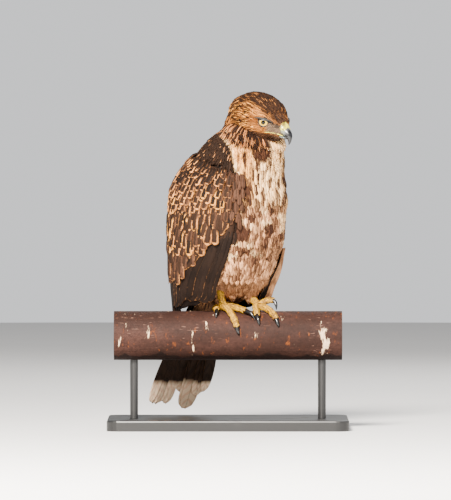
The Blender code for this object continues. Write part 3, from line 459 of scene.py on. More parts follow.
def body_surface(rows: list[tuple], height: Array, turn: Array, grow: Array) -> Array:
    """Points of the body's surface.

    Args:
        rows: The body's sections.
        height: Heights over the perch.
        turn: Degrees from the breast to the bird's right side.
        grow: How far out from the surface.

    Returns:
        The points.
    """
    width, front, back, middle, lean = np.moveaxis(read_rows(rows, height), -1, 0)
    cosine = np.cos(np.radians(turn))
    sine = np.sin(np.radians(turn))
    power = np.where(cosine >= 0.0, 2.0 / FRONT_SQUARENESS, 2.0 / BACK_SQUARENESS)
    reach = np.where(cosine >= 0.0, front - middle, middle - back) + grow
    forward = middle + signed_power(cosine, power) * reach
    left = lean - signed_power(sine, power) * (width + grow)
    return BIRD.place(forward, left, height)


def torso_surface(height: Array, turn: Array, grow: Array) -> Array:
    """Points of the torso and neck."""
    return body_surface(BELLY + BREAST_AND_NECK, height, turn, grow)


def inside_torso(points: Array, grow: float) -> Array:
    """Whether points lie in the torso and neck, grown by a distance."""
    forward, left, height = BIRD.read(points)
    width, front, back, middle, lean = np.moveaxis(read_rows(BELLY + BREAST_AND_NECK, height), -1, 0)
    ahead = forward >= middle
    power = np.where(ahead, FRONT_SQUARENESS, BACK_SQUARENESS)
    reach = np.maximum(np.where(ahead, front - middle, middle - back) + grow, 1.0)
    share = np.abs((forward - middle) / reach) ** power + np.abs((left - lean) / (width + grow)) ** power
    return (share < 1.0) & (height < BREAST_AND_NECK[-1][0] + grow) & (height > BELLY[0][0] - grow)


def head_surface(forward: Array, turn: Array, grow: Array) -> Array:
    """Points of the head: turn in degrees from its left side over its crown."""
    middle, width, rise = np.moveaxis(read_rows(HEAD_SECTIONS, forward), -1, 0)
    power = 2.0 / HEAD_SQUARENESS
    left = signed_power(np.cos(np.radians(turn)), power) * (width + grow)
    up = middle + signed_power(np.sin(np.radians(turn)), power) * (rise + grow)
    return HEAD.place(forward, left, up)


def inside_head(points: Array, grow: float) -> Array:
    """Whether points lie in the head, grown by a distance."""
    forward, left, up = HEAD.read(points)
    middle, width, rise = np.moveaxis(read_rows(HEAD_SECTIONS, forward), -1, 0)
    share = (
        np.abs(left / np.maximum(width + grow, 1.0)) ** HEAD_SQUARENESS
        + np.abs((up - middle) / np.maximum(rise + grow, 1.0)) ** HEAD_SQUARENESS
    )
    return (share < 1.0) & (forward > HEAD_SECTIONS[0][0] - grow) & (forward < HEAD_SECTIONS[-1][0] + grow)


def head_side(forward: Array, up: Array) -> Array:
    """How far the head reaches to its side."""
    middle, width, rise = np.moveaxis(read_rows(HEAD_SECTIONS, forward), -1, 0)
    share = np.clip(np.abs(up - middle) / rise, 0.0, 1.0)
    return width * (1.0 - share ** HEAD_SQUARENESS) ** (1.0 / HEAD_SQUARENESS)


def eye_axis(side: Side) -> Array:
    """The way an eye looks."""
    return -side.value * HEAD.left * math.cos(EYE_TURN) + HEAD.forward * math.sin(EYE_TURN)


def eye_centre(side: Side) -> Array:
    """The middle of an eyeball."""
    depth = float(head_side(np.array(EYE_FORWARD), np.array(EYE_HEIGHT))) - EYE_DEPTH
    return HEAD.place(
        np.array(EYE_FORWARD - EYE_DEPTH * math.sin(EYE_TURN)),
        np.array(-side.value * depth),
        np.array(EYE_HEIGHT),
    )


def grid_faces(rows: int, columns: int, closed: bool = False, first: int = 0, turned: bool = False) -> list:
    """The faces of a grid of points kept row by row.

    Args:
        rows: Number of rows.
        columns: Number of points in a row.
        closed: Whether a row is a ring.
        first: Index of the first point.
        turned: Whether the faces look the other way.

    Returns:
        Four point indices for each face.
    """
    faces = []
    for i in range(rows - 1):
        for j in range(columns if closed else columns - 1):
            k = (j + 1) % columns
            face = (
                first + i * columns + j,
                first + i * columns + k,
                first + (i + 1) * columns + k,
                first + (i + 1) * columns + j,
            )
            faces.append(face[::-1] if turned else face)
    return faces


def make_mesh(name: str, points: Array, faces: list, material: bpy.types.Material | None = None) -> bpy.types.Mesh:
    """A mesh from points in millimetres.

    Args:
        name: The mesh's name.
        points: Its points.
        faces: Its faces.
        material: What it is made of.

    Returns:
        The mesh, in metres.
    """
    mesh = bpy.data.meshes.new(name)
    mesh.from_pydata([tuple(point) for point in np.asarray(points) * MM], [], faces)
    mesh.update()
    mesh.shade_smooth()
    if material:
        mesh.materials.append(material)
    return mesh


def ring_loft(name: str, rings: Array, poles: tuple | None = None) -> bpy.types.Mesh:
    """A closed skin through rings of points, faces outwards.

    Args:
        name: The mesh's name.
        rings: Points as rings by sides by 3.
        poles: The end points, or None for the middles of the end rings.

    Returns:
        The mesh.
    """
    count, sides = rings.shape[:2]
    if poles is None:
        poles = (rings[0].mean(axis=0), rings[-1].mean(axis=0))
    points = np.concatenate((rings.reshape(-1, 3), np.array(poles)))
    faces = grid_faces(count, sides, closed=True)
    start = count * sides
    for j in range(sides):
        k = (j + 1) % sides
        faces.append((start, k, j))
        faces.append((start + 1, (count - 1) * sides + j, (count - 1) * sides + k))
    mesh = make_mesh(name, points, faces)
    face_outwards(mesh)
    return mesh


def face_outwards(mesh: bpy.types.Mesh) -> None:
    """Turn a closed mesh's faces outwards."""
    edit = bmesh.new()
    edit.from_mesh(mesh)
    bmesh.ops.recalc_face_normals(edit, faces=edit.faces)
    edit.to_mesh(mesh)
    edit.free()


def tube_rings(points: Array, radii: Array, sides: int) -> Array:
    """Rings round a line of points.

    Args:
        points: The centre line.
        radii: The radius at each point.
        sides: Points in a ring.

    Returns:
        Rings by sides by 3.
    """
    along = unit(np.gradient(points, axis=0))
    side = np.array((1.0, 0.0, 0.0))
    turns = np.linspace(0.0, 2.0 * math.pi, sides, endpoint=False)
    rings = []
    for point, way, radius in zip(points, along, radii):
        side = side - way * side.dot(way)
        if np.linalg.norm(side) < 0.1:
            side = np.cross(way, (0.0, 0.0, 1.0))
        side = unit(side)
        across = np.cross(way, side)
        rings.append(point + radius * (np.cos(turns)[:, None] * side + np.sin(turns)[:, None] * across))
    return np.array(rings)


def smooth_line(rows: list[tuple], count: int) -> Array:
    """A table of points and radii drawn finer, evenly by row."""
    keyed = [(float(i),) + tuple(row) for i, row in enumerate(rows)]
    return read_rows(keyed, np.linspace(0.0, len(rows) - 1.0, count))


def perch_points(rows: Array) -> Array:
    """Points from distances across, behind and over the perch."""
    return PERCH + rows


def grip_points(rows: Array) -> Array:
    """Points over the perch's skin: along it, turned to the front in degrees, and lifted."""
    reach = PERCH_RADIUS + rows[:, 2]
    angle = np.radians(rows[:, 1])
    return PERCH + np.stack((rows[:, 0], -reach * np.sin(angle), reach * np.cos(angle)), axis=1)


def add_piece(
    name: str,
    mesh: bpy.types.Mesh,
    material: bpy.types.Material | None = None,
    replaces: tuple[str, ...] = (),
) -> bpy.types.Object:
    """Put a finished mesh in the scene as a piece of the hawk.

    Args:
        name: The piece's name.
        mesh: Its mesh, in place.
        material: What it is made of, where the mesh doesn't say.
        replaces: The nodes that it stands for.

    Returns:
        The piece.
    """
    if material:
        mesh.materials.clear()
        mesh.materials.append(material)
    piece = bpy.data.objects.new(name, mesh)
    bpy.context.scene.collection.objects.link(piece)
    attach(piece, BODY_NAME)
    if replaces:
        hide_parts(*replaces)
    triangles = sum(len(polygon.vertices) - 2 for polygon in mesh.polygons)
    log.info("%s: %d triangles", name, triangles)
    return piece


class Nodes:
    """Makes the nodes of one shader or geometry tree."""

    def __init__(self, tree: bpy.types.NodeTree) -> None:
        """Keep the tree that the nodes go in."""
        self.tree = tree

    def add(self, kind: str, inputs: dict | None = None, **settings: object) -> bpy.types.Node:
        """Add a node.

        Args:
            kind: The node's type.
            inputs: Values or sockets for its inputs, by name or index.
            settings: The node's own settings.

        Returns:
            The node.
        """
        node = self.tree.nodes.new(kind)
        for key, value in settings.items():
            setattr(node, key, value)
        for key, value in (inputs or {}).items():
            self.feed(node.inputs[key], value)
        return node

    def feed(self, socket: bpy.types.NodeSocket, value: object) -> None:
        """Link a socket to an input, or set its value."""
        if isinstance(value, bpy.types.NodeSocket):
            self.tree.links.new(value, socket)
        else:
            socket.default_value = value

    def math(self, operation: str, first: object, second: object = 0.0, clamp: bool = False) -> object:
        """A number worked out from one or two others."""
        node = self.add("ShaderNodeMath", {0: first, 1: second}, operation=operation, use_clamp=clamp)
        return node.outputs[0]

    def step(self, value: object, low: object, high: object) -> object:
        """A soft step from 0 at low to 1 at high."""
        node = self.add(
            "ShaderNodeMapRange", {0: value, 1: low, 2: high, 3: 0.0, 4: 1.0}, interpolation_type="SMOOTHSTEP"
        )
        return node.outputs[0]

    def mix(self, share: object, start: object, end: object, mode: str = "MIX") -> object:
        """A colour between two."""
        node = self.add("ShaderNodeMix", data_type="RGBA", blend_type=mode, clamp_factor=True)
        self.feed(node.inputs[0], share)
        for index, value in ((6, start), (7, end)):
            self.feed(node.inputs[index], (*value, 1.0) if isinstance(value, tuple) else value)
        return node.outputs[2]

    def attribute(self, name: str, output: str = "Vector") -> object:
        """A mesh attribute's value."""
        return self.add("ShaderNodeAttribute", attribute_name=name).outputs[output]

    def noise(self, place: object, scale: object, detail: float = 3.0, roughness: float = 0.55) -> object:
        """Soft random values, about 0.5 on average."""
        values = {"Vector": place, "Scale": scale, "Detail": detail, "Roughness": roughness}
        return self.add("ShaderNodeTexNoise", values).outputs[0]

    def object_place(self, stretch: tuple[float, float, float] = (1.0, 1.0, 1.0)) -> object:
        """The place on the piece, stretched along each axis."""
        place = self.add("ShaderNodeTexCoord").outputs["Object"]
        if stretch == (1.0, 1.0, 1.0):
            return place
        return self.add("ShaderNodeMapping", {"Vector": place, "Scale": stretch}).outputs[0]

    def bump(self, height: object, distance: float, strength: float = 1.0) -> object:
        """A normal from a height in metres."""
        values = {"Height": height, "Distance": distance, "Strength": strength}
        return self.add("ShaderNodeBump", values).outputs[0]


class GroupSocket(Enum):
    """The kinds of value that a node group takes or gives."""

    NUMBER = "NodeSocketFloat"
    COLOUR = "NodeSocketColor"
    VECTOR = "NodeSocketVector"


class ShaderGroup:
    """A shader node group with named inputs and outputs, built once."""

    def __init__(self, name: str, inputs: dict[str, GroupSocket], outputs: dict[str, GroupSocket]) -> None:
        """Make the group's tree and its sockets."""
        self.tree = bpy.data.node_groups.new(name, "ShaderNodeTree")
        for label, kind in inputs.items():
            self.tree.interface.new_socket(label, in_out="INPUT", socket_type=kind.value)
        for label, kind in outputs.items():
            self.tree.interface.new_socket(label, in_out="OUTPUT", socket_type=kind.value)
        self.nodes = Nodes(self.tree)
        self.inputs = self.tree.nodes.new("NodeGroupInput").outputs
        self.outputs = self.tree.nodes.new("NodeGroupOutput").inputs

    def place(self, nodes: Nodes, inputs: dict) -> bpy.types.NodeOutputs:
        """Put the group in a material and feed it."""
        node = nodes.add("ShaderNodeGroup", node_tree=self.tree)
        for label, value in inputs.items():
            nodes.feed(node.inputs[label], value)
        return node.outputs


def feather_pattern() -> ShaderGroup:
    """The streak, bars, fringe and barbs of a feather, from its own map and its root's markings."""
    group = ShaderGroup(
        "feather_pattern",
        {
            "Vane": GroupSocket.VECTOR,
            "Marking": GroupSocket.VECTOR,
            "Tone": GroupSocket.NUMBER,
            "Ground": GroupSocket.COLOUR,
            "Mark": GroupSocket.COLOUR,
            "Edge": GroupSocket.COLOUR,
            "Bar Count": GroupSocket.NUMBER,
            "Barb Count": GroupSocket.NUMBER,
            "Grain": GroupSocket.NUMBER,
            "Side Fringe": GroupSocket.NUMBER,
        },
        {"Colour": GroupSocket.COLOUR, "Height": GroupSocket.NUMBER},
    )
    nodes = group.nodes
    given = group.inputs
    split = nodes.add("ShaderNodeSeparateXYZ", {0: given["Vane"]}).outputs
    marks = nodes.add("ShaderNodeSeparateXYZ", {0: given["Marking"]}).outputs
    along = split["Y"]
    centred = nodes.math("MULTIPLY_ADD", split["X"], 2.0)
    centred.node.inputs[2].default_value = -1.0
    across = nodes.math("ABSOLUTE", centred)
    place = nodes.object_place()
    ragged = nodes.math("SUBTRACT", nodes.noise(place, given["Grain"], 2.0), 0.5)
    edge_place = nodes.math("ADD", across, nodes.math("MULTIPLY", ragged, 0.5))

    profile = nodes.math("MULTIPLY", nodes.math("SUBTRACT", 1.12, along), nodes.math("MULTIPLY", along, 3.0))
    width = nodes.math("MULTIPLY", marks["X"], profile)
    past = nodes.math("SUBTRACT", edge_place, width)
    streak = nodes.math("SUBTRACT", 1.0, nodes.step(past, -0.10, 0.10))
    has_streak = nodes.step(marks["X"], 0.02, 0.08)
    streak = nodes.math("MULTIPLY", streak, has_streak)

    bend = nodes.math("MULTIPLY", across, 0.10)
    wave_place = nodes.math("ADD", nodes.math("SUBTRACT", along, bend), nodes.math("MULTIPLY", ragged, 0.10))
    turns = nodes.math("MULTIPLY", wave_place, given["Bar Count"])
    turns = nodes.math("ADD", nodes.math("MULTIPLY", turns, 2.0 * math.pi), given["Tone"])
    bars = nodes.math("MULTIPLY", nodes.step(nodes.math("SINE", turns), 0.15, 0.6), marks["Y"])

    tip = nodes.math("MULTIPLY", nodes.math("SUBTRACT", along, 0.80), 5.0)
    side_rim = nodes.math("MULTIPLY", edge_place, given["Side Fringe"])
    rim = nodes.math("MAXIMUM", side_rim, nodes.math("ADD", tip, nodes.math("MULTIPLY", ragged, 0.6)))
    fringe_start = nodes.math("SUBTRACT", 1.0, marks["Z"])
    fringe = nodes.step(nodes.math("SUBTRACT", rim, fringe_start), -0.10, 0.12)
    fringe = nodes.math("MULTIPLY", fringe, nodes.step(marks["Z"], 0.02, 0.10))
    fringe = nodes.math("MULTIPLY", fringe, nodes.step(along, 0.25, 0.6))

    colour = nodes.mix(nodes.math("MAXIMUM", streak, bars), given["Ground"], given["Mark"])
    colour = nodes.mix(fringe, colour, given["Edge"])
    shaft = nodes.math("SUBTRACT", 1.0, nodes.step(across, 0.02, 0.09))
    colour = nodes.mix(nodes.math("MULTIPLY", shaft, 0.35), colour, (0.03, 0.018, 0.01))
    shade = nodes.math("MULTIPLY_ADD", given["Tone"], 0.36)
    shade.node.inputs[2].default_value = 0.80
    fine = nodes.math("MULTIPLY_ADD", nodes.noise(place, 900.0, 2.0), 0.5)
    fine.node.inputs[2].default_value = 0.75
    level = nodes.math("MULTIPLY", shade, fine)
    grey = nodes.add("ShaderNodeCombineXYZ", {0: level, 1: level, 2: level}).outputs[0]
    colour = nodes.mix(1.0, colour, grey, "MULTIPLY")

    slant = nodes.math("ADD", along, nodes.math("MULTIPLY", across, -0.35))
    barbs = nodes.math("SINE", nodes.math("MULTIPLY", slant, given["Barb Count"]))
    nodes.feed(group.outputs["Colour"], colour)
    nodes.feed(group.outputs["Height"], nodes.math("ADD", nodes.math("MULTIPLY", barbs, 0.5), shaft))
    return group


def scratches_group() -> ShaderGroup:
    """Soft stains and fine specks that wear gives to paint and metal."""
    group = ShaderGroup(
        "wear",
        {"Place": GroupSocket.VECTOR, "Size": GroupSocket.NUMBER, "Amount": GroupSocket.NUMBER},
        {"Stain": GroupSocket.NUMBER, "Speck": GroupSocket.NUMBER},
    )
    nodes = group.nodes
    broad = nodes.noise(group.inputs["Place"], group.inputs["Size"], 5.0, 0.6)
    fine_size = nodes.math("MULTIPLY", group.inputs["Size"], 9.0)
    fine = nodes.noise(group.inputs["Place"], fine_size, 3.0, 0.7)
    stain = nodes.step(broad, nodes.math("SUBTRACT", 0.75, group.inputs["Amount"]), 0.8)
    nodes.feed(group.outputs["Stain"], stain)
    nodes.feed(group.outputs["Speck"], nodes.step(fine, 0.62, 0.74))
    return group


def new_material(name: str) -> tuple[bpy.types.Material, Nodes, bpy.types.Node]:
    """A material, a maker for its nodes, and its Principled shader."""
    material = bpy.data.materials.new(name)
    material.use_nodes = True
    return material, Nodes(material.node_tree), material.node_tree.nodes["Principled BSDF"]


@dataclass(frozen=True)
class FeatherFinish:
    """Feathers whose colours and markings come from their roots."""

    name: str
    pattern: ShaderGroup
    bar_count: float = 2.0
    barb_count: float = 120.0
    grain: float = 260.0
    roughness: float = 0.72
    sheen: float = 0.0
    relief: float = 0.00012
    side_fringe: float = 1.0

    def build(self) -> bpy.types.Material:
        """The material of these feathers."""
        material, nodes, shader = new_material(self.name)
        made = self.pattern.place(nodes, {
            "Vane": nodes.add("ShaderNodeUVMap", uv_map="Vane").outputs[0],
            "Marking": nodes.attribute("marking"),
            "Tone": nodes.attribute("tone", "Fac"),
            "Ground": nodes.attribute("ground", "Color"),
            "Mark": nodes.attribute("mark", "Color"),
            "Edge": nodes.attribute("edge", "Color"),
            "Bar Count": self.bar_count,
            "Barb Count": self.barb_count,
            "Grain": self.grain,
            "Side Fringe": self.side_fringe,
        })
        nodes.feed(shader.inputs["Base Color"], made["Colour"])
        nodes.feed(shader.inputs["Normal"], nodes.bump(made["Height"], self.relief, 0.6))
        shader.inputs["Roughness"].default_value = self.roughness
        shader.inputs["Sheen Weight"].default_value = self.sheen
        shader.inputs["Specular IOR Level"].default_value = 0.07
        return material


@dataclass(frozen=True)
class UnderFinish:
    """The skin under the feathers, with the markings that they carry."""

    name: str = "under_plumage"

    def build(self) -> bpy.types.Material:
        """The material of the skin."""
        material, nodes, shader = new_material(self.name)
        stripes = nodes.noise(nodes.object_place((260.0, 260.0, 45.0)), 1.0, 3.0)
        share = nodes.math("MULTIPLY", nodes.step(stripes, 0.50, 0.62), 0.7)
        colour = nodes.mix(share, nodes.attribute("ground", "Color"), nodes.attribute("mark", "Color"))
        colour = nodes.mix(1.0, colour, (0.55, 0.50, 0.46), "MULTIPLY")
        nodes.feed(shader.inputs["Base Color"], colour)
        nodes.feed(shader.inputs["Normal"], nodes.bump(stripes, 0.0006))
        shader.inputs["Roughness"].default_value = 0.9
        return material


@dataclass(frozen=True)
class FootFinish:
    """Yellow scaled skin, a deeper yellow between the scales and in soft patches."""

    name: str = "foot_skin"
    light: tuple = linear(231, 202, 112)
    deep: tuple = linear(176, 128, 62)
    scale_size: float = 620.0

    def build(self) -> bpy.types.Material:
        """The material of the feet."""
        material, nodes, shader = new_material(self.name)
        place = nodes.object_place()
        cells = nodes.add("ShaderNodeTexVoronoi", {"Vector": place, "Scale": self.scale_size}, feature="DISTANCE_TO_EDGE")
        edge = nodes.step(cells.outputs["Distance"], 0.02, 0.22)
        tone = nodes.noise(place, 160.0, 3.0)
        colour = nodes.mix(nodes.math("MULTIPLY", edge, nodes.step(tone, 0.30, 0.58)), self.deep, self.light)
        nodes.feed(shader.inputs["Base Color"], colour)
        nodes.feed(shader.inputs["Roughness"], nodes.math("MULTIPLY_ADD", edge, -0.15))
        shader.inputs["Roughness"].links[0].from_node.inputs[2].default_value = 0.60
        nodes.feed(shader.inputs["Normal"], nodes.bump(edge, 0.0004, 0.8))
        return material


@dataclass(frozen=True)
class HornFinish:
    """Horn that darkens from its base to its point, by the mesh's own attribute."""

    name: str
    base: tuple
    point: tuple
    start: float
    end: float
    roughness: float = 0.28

    def build(self) -> bpy.types.Material:
        """The material of the horn."""
        material, nodes, shader = new_material(self.name)
        grain = nodes.noise(nodes.object_place(), 420.0, 4.0)
        along = nodes.math("ADD", nodes.attribute("along", "Fac"), nodes.math("MULTIPLY", grain, 0.16))
        share = nodes.step(along, self.start, self.end)
        colour = nodes.mix(share, self.base, self.point)
        nodes.feed(shader.inputs["Base Color"], colour)
        nodes.feed(shader.inputs["Normal"], nodes.bump(grain, 0.00015, 0.5))
        shader.inputs["Roughness"].default_value = self.roughness
        shader.inputs["Coat Weight"].default_value = 0.3
        return material


@dataclass(frozen=True)
class SkinFinish:
    """Bare skin of the face, in two close tones."""

    name: str
    light: tuple
    deep: tuple
    scale: float = 350.0
    roughness: float = 0.42
    relief: float = 0.0002
    shaded: tuple = linear(158, 160, 158)

    def build(self) -> bpy.types.Material:
        """The material of the skin."""
        material, nodes, shader = new_material(self.name)
        grain = nodes.noise(nodes.object_place(), self.scale, 4.0)
        dent = nodes.attribute("dent", "Fac")
        share = nodes.math("MAXIMUM", nodes.step(grain, 0.42, 0.68), 0.0)
        colour = nodes.mix(share, self.light, self.deep)
        colour = nodes.mix(nodes.attribute("shade", "Fac"), colour, self.shaded)
        # Where a dent is marked the colour goes near black: painted shade for a nostril's depth
        colour = nodes.mix(dent, colour, (0.02, 0.015, 0.01))
        nodes.feed(shader.inputs["Base Color"], colour)
        nodes.feed(shader.inputs["Normal"], nodes.bump(grain, self.relief, 0.7))
        shader.inputs["Roughness"].default_value = self.roughness
        return material


@dataclass(frozen=True)
class EyeFinish:
    """A pale yellow iris with a black pupil under a wet surface, by the angle from its axis."""

    name: str = "eye"
    iris: tuple = linear(230, 208, 112)
    rim: tuple = linear(150, 104, 44)
    pupil: float = 0.36
    limbus: float = 0.80

    def build(self) -> bpy.types.Material:
        """The material of the eye."""
        material, nodes, shader = new_material(self.name)
        away = nodes.attribute("away", "Fac")
        turn = nodes.attribute("turn", "Fac")
        rays = nodes.noise(nodes.add("ShaderNodeCombineXYZ", {0: turn, 1: away, 2: 0.0}).outputs[0], 9.0, 4.0)
        iris = nodes.mix(nodes.step(rays, 0.45, 0.70), self.iris, linear(224, 178, 76))
        iris = nodes.mix(nodes.step(away, 0.58, 0.78), iris, self.rim)
        iris = nodes.mix(nodes.step(away, self.limbus - 0.06, self.limbus), iris, (0.012, 0.010, 0.009))
        colour = nodes.mix(nodes.step(away, self.pupil - 0.012, self.pupil + 0.012), (0.001, 0.001, 0.001), iris)
        nodes.feed(shader.inputs["Base Color"], colour)
        shader.inputs["Roughness"].default_value = 0.12
        shader.inputs["Specular IOR Level"].default_value = 0.1
        shader.inputs["Coat Weight"].default_value = 0.3
        shader.inputs["Coat Roughness"].default_value = 0.02
        return material


@dataclass(frozen=True)
class RustFinish:
    """Old rusted steel with orange bloom, dark pits, runs and pale bird lime, and a dark wavy band of painted shade
    along its underside.
    """

    wear: ShaderGroup
    name: str = "rusted_pipe"
    half_length: float = 0.170
    # Height in the piece's own frame under which a wavy band is painted dark as shade
    painted_shade_top: float = 0.0955

    def build(self) -> bpy.types.Material:
        """The material of the pipe."""
        material, nodes, shader = new_material(self.name)
        place = nodes.object_place()
        long_place = nodes.object_place((0.35, 1.0, 1.0))
        wear = self.wear.place(nodes, {"Place": long_place, "Size": 42.0, "Amount": 0.22})
        broad = nodes.noise(long_place, 26.0, 6.0, 0.62)
        colour = nodes.mix(nodes.step(broad, 0.36, 0.66), linear(76, 42, 30), linear(108, 68, 54))
        fine = nodes.noise(place, 210.0, 6.0, 0.7)
        colour = nodes.mix(nodes.math("MULTIPLY", nodes.step(fine, 0.45, 0.62), 0.45), colour, linear(54, 26, 17))
        bloom = nodes.noise(nodes.object_place((1.0, 0.6, 0.40)), 150.0, 5.0, 0.68)
        colour = nodes.mix(nodes.step(bloom, 0.60, 0.70), colour, linear(164, 98, 56))
        colour = nodes.mix(nodes.math("MULTIPLY", wear["Stain"], 0.6), colour, linear(50, 24, 15))
        colour = nodes.mix(nodes.math("MULTIPLY", wear["Speck"], 0.35), colour, linear(150, 100, 74))
        region = nodes.step(nodes.noise(place, 13.0, 2.0), 0.46, 0.60)
        scratch = nodes.noise(nodes.object_place((0.22, 1.0, 1.3)), 330.0, 2.0, 0.5)
        scratch = nodes.math("MULTIPLY", nodes.step(scratch, 0.65, 0.70), region)
        colour = nodes.mix(nodes.math("MULTIPLY", scratch, 0.6), colour, linear(176, 142, 124))
        lime_place = nodes.object_place((1.0, 0.4, 0.24))
        lime = nodes.noise(lime_place, 82.0, 4.0, 0.62)
        lime = nodes.step(nodes.math("ADD", lime, nodes.math("MULTIPLY", region, 0.06)), 0.68, 0.73)
        colour = nodes.mix(lime, colour, linear(224, 210, 194))
        split = nodes.add("ShaderNodeSeparateXYZ", {0: place}).outputs
        end = nodes.step(nodes.math("ABSOLUTE", split["X"]), self.half_length - 0.0009, self.half_length - 0.0002)
        # A wavy dark band along the pipe's underside: painted shade, not rust
        wave = nodes.noise(nodes.object_place((1.0, 0.0, 0.0)), 24.0, 2.0)
        level = nodes.math("MULTIPLY_ADD", wave, -0.030)
        nodes.feed(level.node.inputs[2], split[2])
        shade = nodes.math("SUBTRACT", 1.0, nodes.step(level, self.painted_shade_top - 0.001, self.painted_shade_top + 0.002))
        colour = nodes.mix(nodes.math("MULTIPLY", shade, 0.85), colour, linear(36, 18, 13))
        colour = nodes.mix(end, colour, linear(112, 96, 90))
        pits = nodes.noise(place, 320.0, 6.0, 0.7)
        nodes.feed(shader.inputs["Base Color"], colour)
        height = nodes.math("ADD", nodes.math("MULTIPLY", pits, 0.7), nodes.math("MULTIPLY", lime, 0.5))
        nodes.feed(shader.inputs["Normal"], nodes.bump(height, 0.0012, 0.8))
        shader.inputs["Specular IOR Level"].default_value = 0.12
        rough = nodes.math("MULTIPLY_ADD", bloom, 0.35)
        rough.node.inputs[2].default_value = 0.50
        nodes.feed(shader.inputs["Roughness"], rough)
        return material


@dataclass(frozen=True)
class PaintFinish:
    """Satin paint with a fine orange-peel surface and a little dust."""

    wear: ShaderGroup
    name: str = "stand_paint"
    colour: tuple = linear(58, 56, 54)
    dust: tuple = linear(112, 106, 98)

    def build(self) -> bpy.types.Material:
        """The material of the stand."""
        material, nodes, shader = new_material(self.name)
        place = nodes.object_place()
        wear = self.wear.place(nodes, {"Place": place, "Size": 14.0, "Amount": 0.20})
        colour = nodes.mix(nodes.math("MULTIPLY", wear["Stain"], 0.25), self.colour, self.dust)
        colour = nodes.mix(nodes.math("MULTIPLY", wear["Speck"], 0.06), colour, self.dust)
        nodes.feed(shader.inputs["Base Color"], colour)
        peel = nodes.noise(place, 700.0, 2.0)
        nodes.feed(shader.inputs["Normal"], nodes.bump(peel, 0.0001, 0.4))
        rough = nodes.math("MULTIPLY_ADD", wear["Stain"], 0.2)
        rough.node.inputs[2].default_value = 0.38
        nodes.feed(shader.inputs["Roughness"], rough)
        return material


@dataclass(frozen=True)
class Palette:
    """The plumage's colours, in daylight."""

    crown: tuple = linear(94, 58, 38)
    crown_light: tuple = linear(204, 158, 116)
    cheek: tuple = linear(198, 145, 96)
    cheek_mark: tuple = linear(118, 70, 40)
    rust: tuple = linear(172, 100, 50)
    collar: tuple = linear(88, 48, 28)
    collar_light: tuple = linear(216, 172, 134)
    cream: tuple = linear(229, 212, 190)
    buff: tuple = linear(228, 192, 148)
    brown: tuple = linear(134, 86, 56)
    band_ground: tuple = linear(212, 178, 150)
    band_mark: tuple = linear(104, 62, 42)
    trousers: tuple = linear(222, 192, 166)
    trousers_mark: tuple = linear(160, 116, 88)
    mantle: tuple = linear(76, 46, 29)
    mantle_edge: tuple = linear(200, 156, 120)
    covert: tuple = linear(118, 78, 56)
    covert_edge: tuple = linear(226, 188, 150)
    front_band: tuple = linear(130, 90, 68)
    quill: tuple = linear(32, 17, 10)
    quill_edge: tuple = linear(190, 148, 112)
    tail_under: tuple = linear(234, 220, 208)
    tail_bar: tuple = linear(224, 198, 180)
    # The tail's dark under colour: the feathers' own deeper brown with a painted shadow of the pipe over it
    tail_shade: tuple = linear(74, 48, 32)
    tail_upper: tuple = linear(122, 82, 58)
    lores: tuple = linear(174, 150, 128)
    chin: tuple = linear(134, 108, 88)



PALETTE = Palette()


@dataclass
class Markings:
    """Colours and pattern of each feather or place."""

    ground: Array
    mark: Array
    edge: Array
    marking: Array


def paint(markings: Markings, share: Array, ground: tuple, mark: tuple, edge: tuple, marking: tuple) -> None:
    """Bring markings towards others by a share for each place."""
    markings.ground = blend(markings.ground, np.array(ground), share)
    markings.mark = blend(markings.mark, np.array(mark), share)
    markings.edge = blend(markings.edge, np.array(edge), share)
    markings.marking = blend(markings.marking, np.array(marking), share)


def patches(points: Array, size: float, seed: int, stretch: tuple = (1.0, 1.0, 1.0)) -> Array:
    """Soft random patches from a few waves laid over each other, every value equally common.

    Args:
        points: Where to read them.
        size: About how far apart the patches are.
        seed: Which pattern.
        stretch: How much longer they are along each axis.

    Returns:
        A value for each point.
    """
    draw = np.random.default_rng(seed)
    total = np.zeros(len(points))
    points = points / np.array(stretch)
    for _ in range(9):
        way = unit(draw.normal(size=3)) * 2.0 * math.pi / (size * draw.uniform(0.7, 1.6))
        total += np.sin(points @ way + draw.uniform(0.0, 6.3))
    return 1.0 / (1.0 + np.exp(-0.8 * total))


def placed_marks(points: Array, rows: list[tuple]) -> Array:
    """How far points lie in marks that are placed one by one, each a drop with its point down.

    Args:
        points: Places on or near the body.
        rows: The marks.

    Returns:
        A share from 0 to 1 for each point.
    """
    away = points - PERCH
    total = np.zeros(len(points))
    for across, height, half_width, half_height, depth in rows:
        beside = (away[:, 0] - across) / half_width
        along = (away[:, 2] - height) / half_height
        reach = np.sqrt((beside * (1.15 - 0.35 * np.clip(along, -1.2, 1.2))) ** 2 + along * along)
        total = np.maximum(total, depth * (1.0 - ease((reach - 0.80) / 0.45)))
    return total


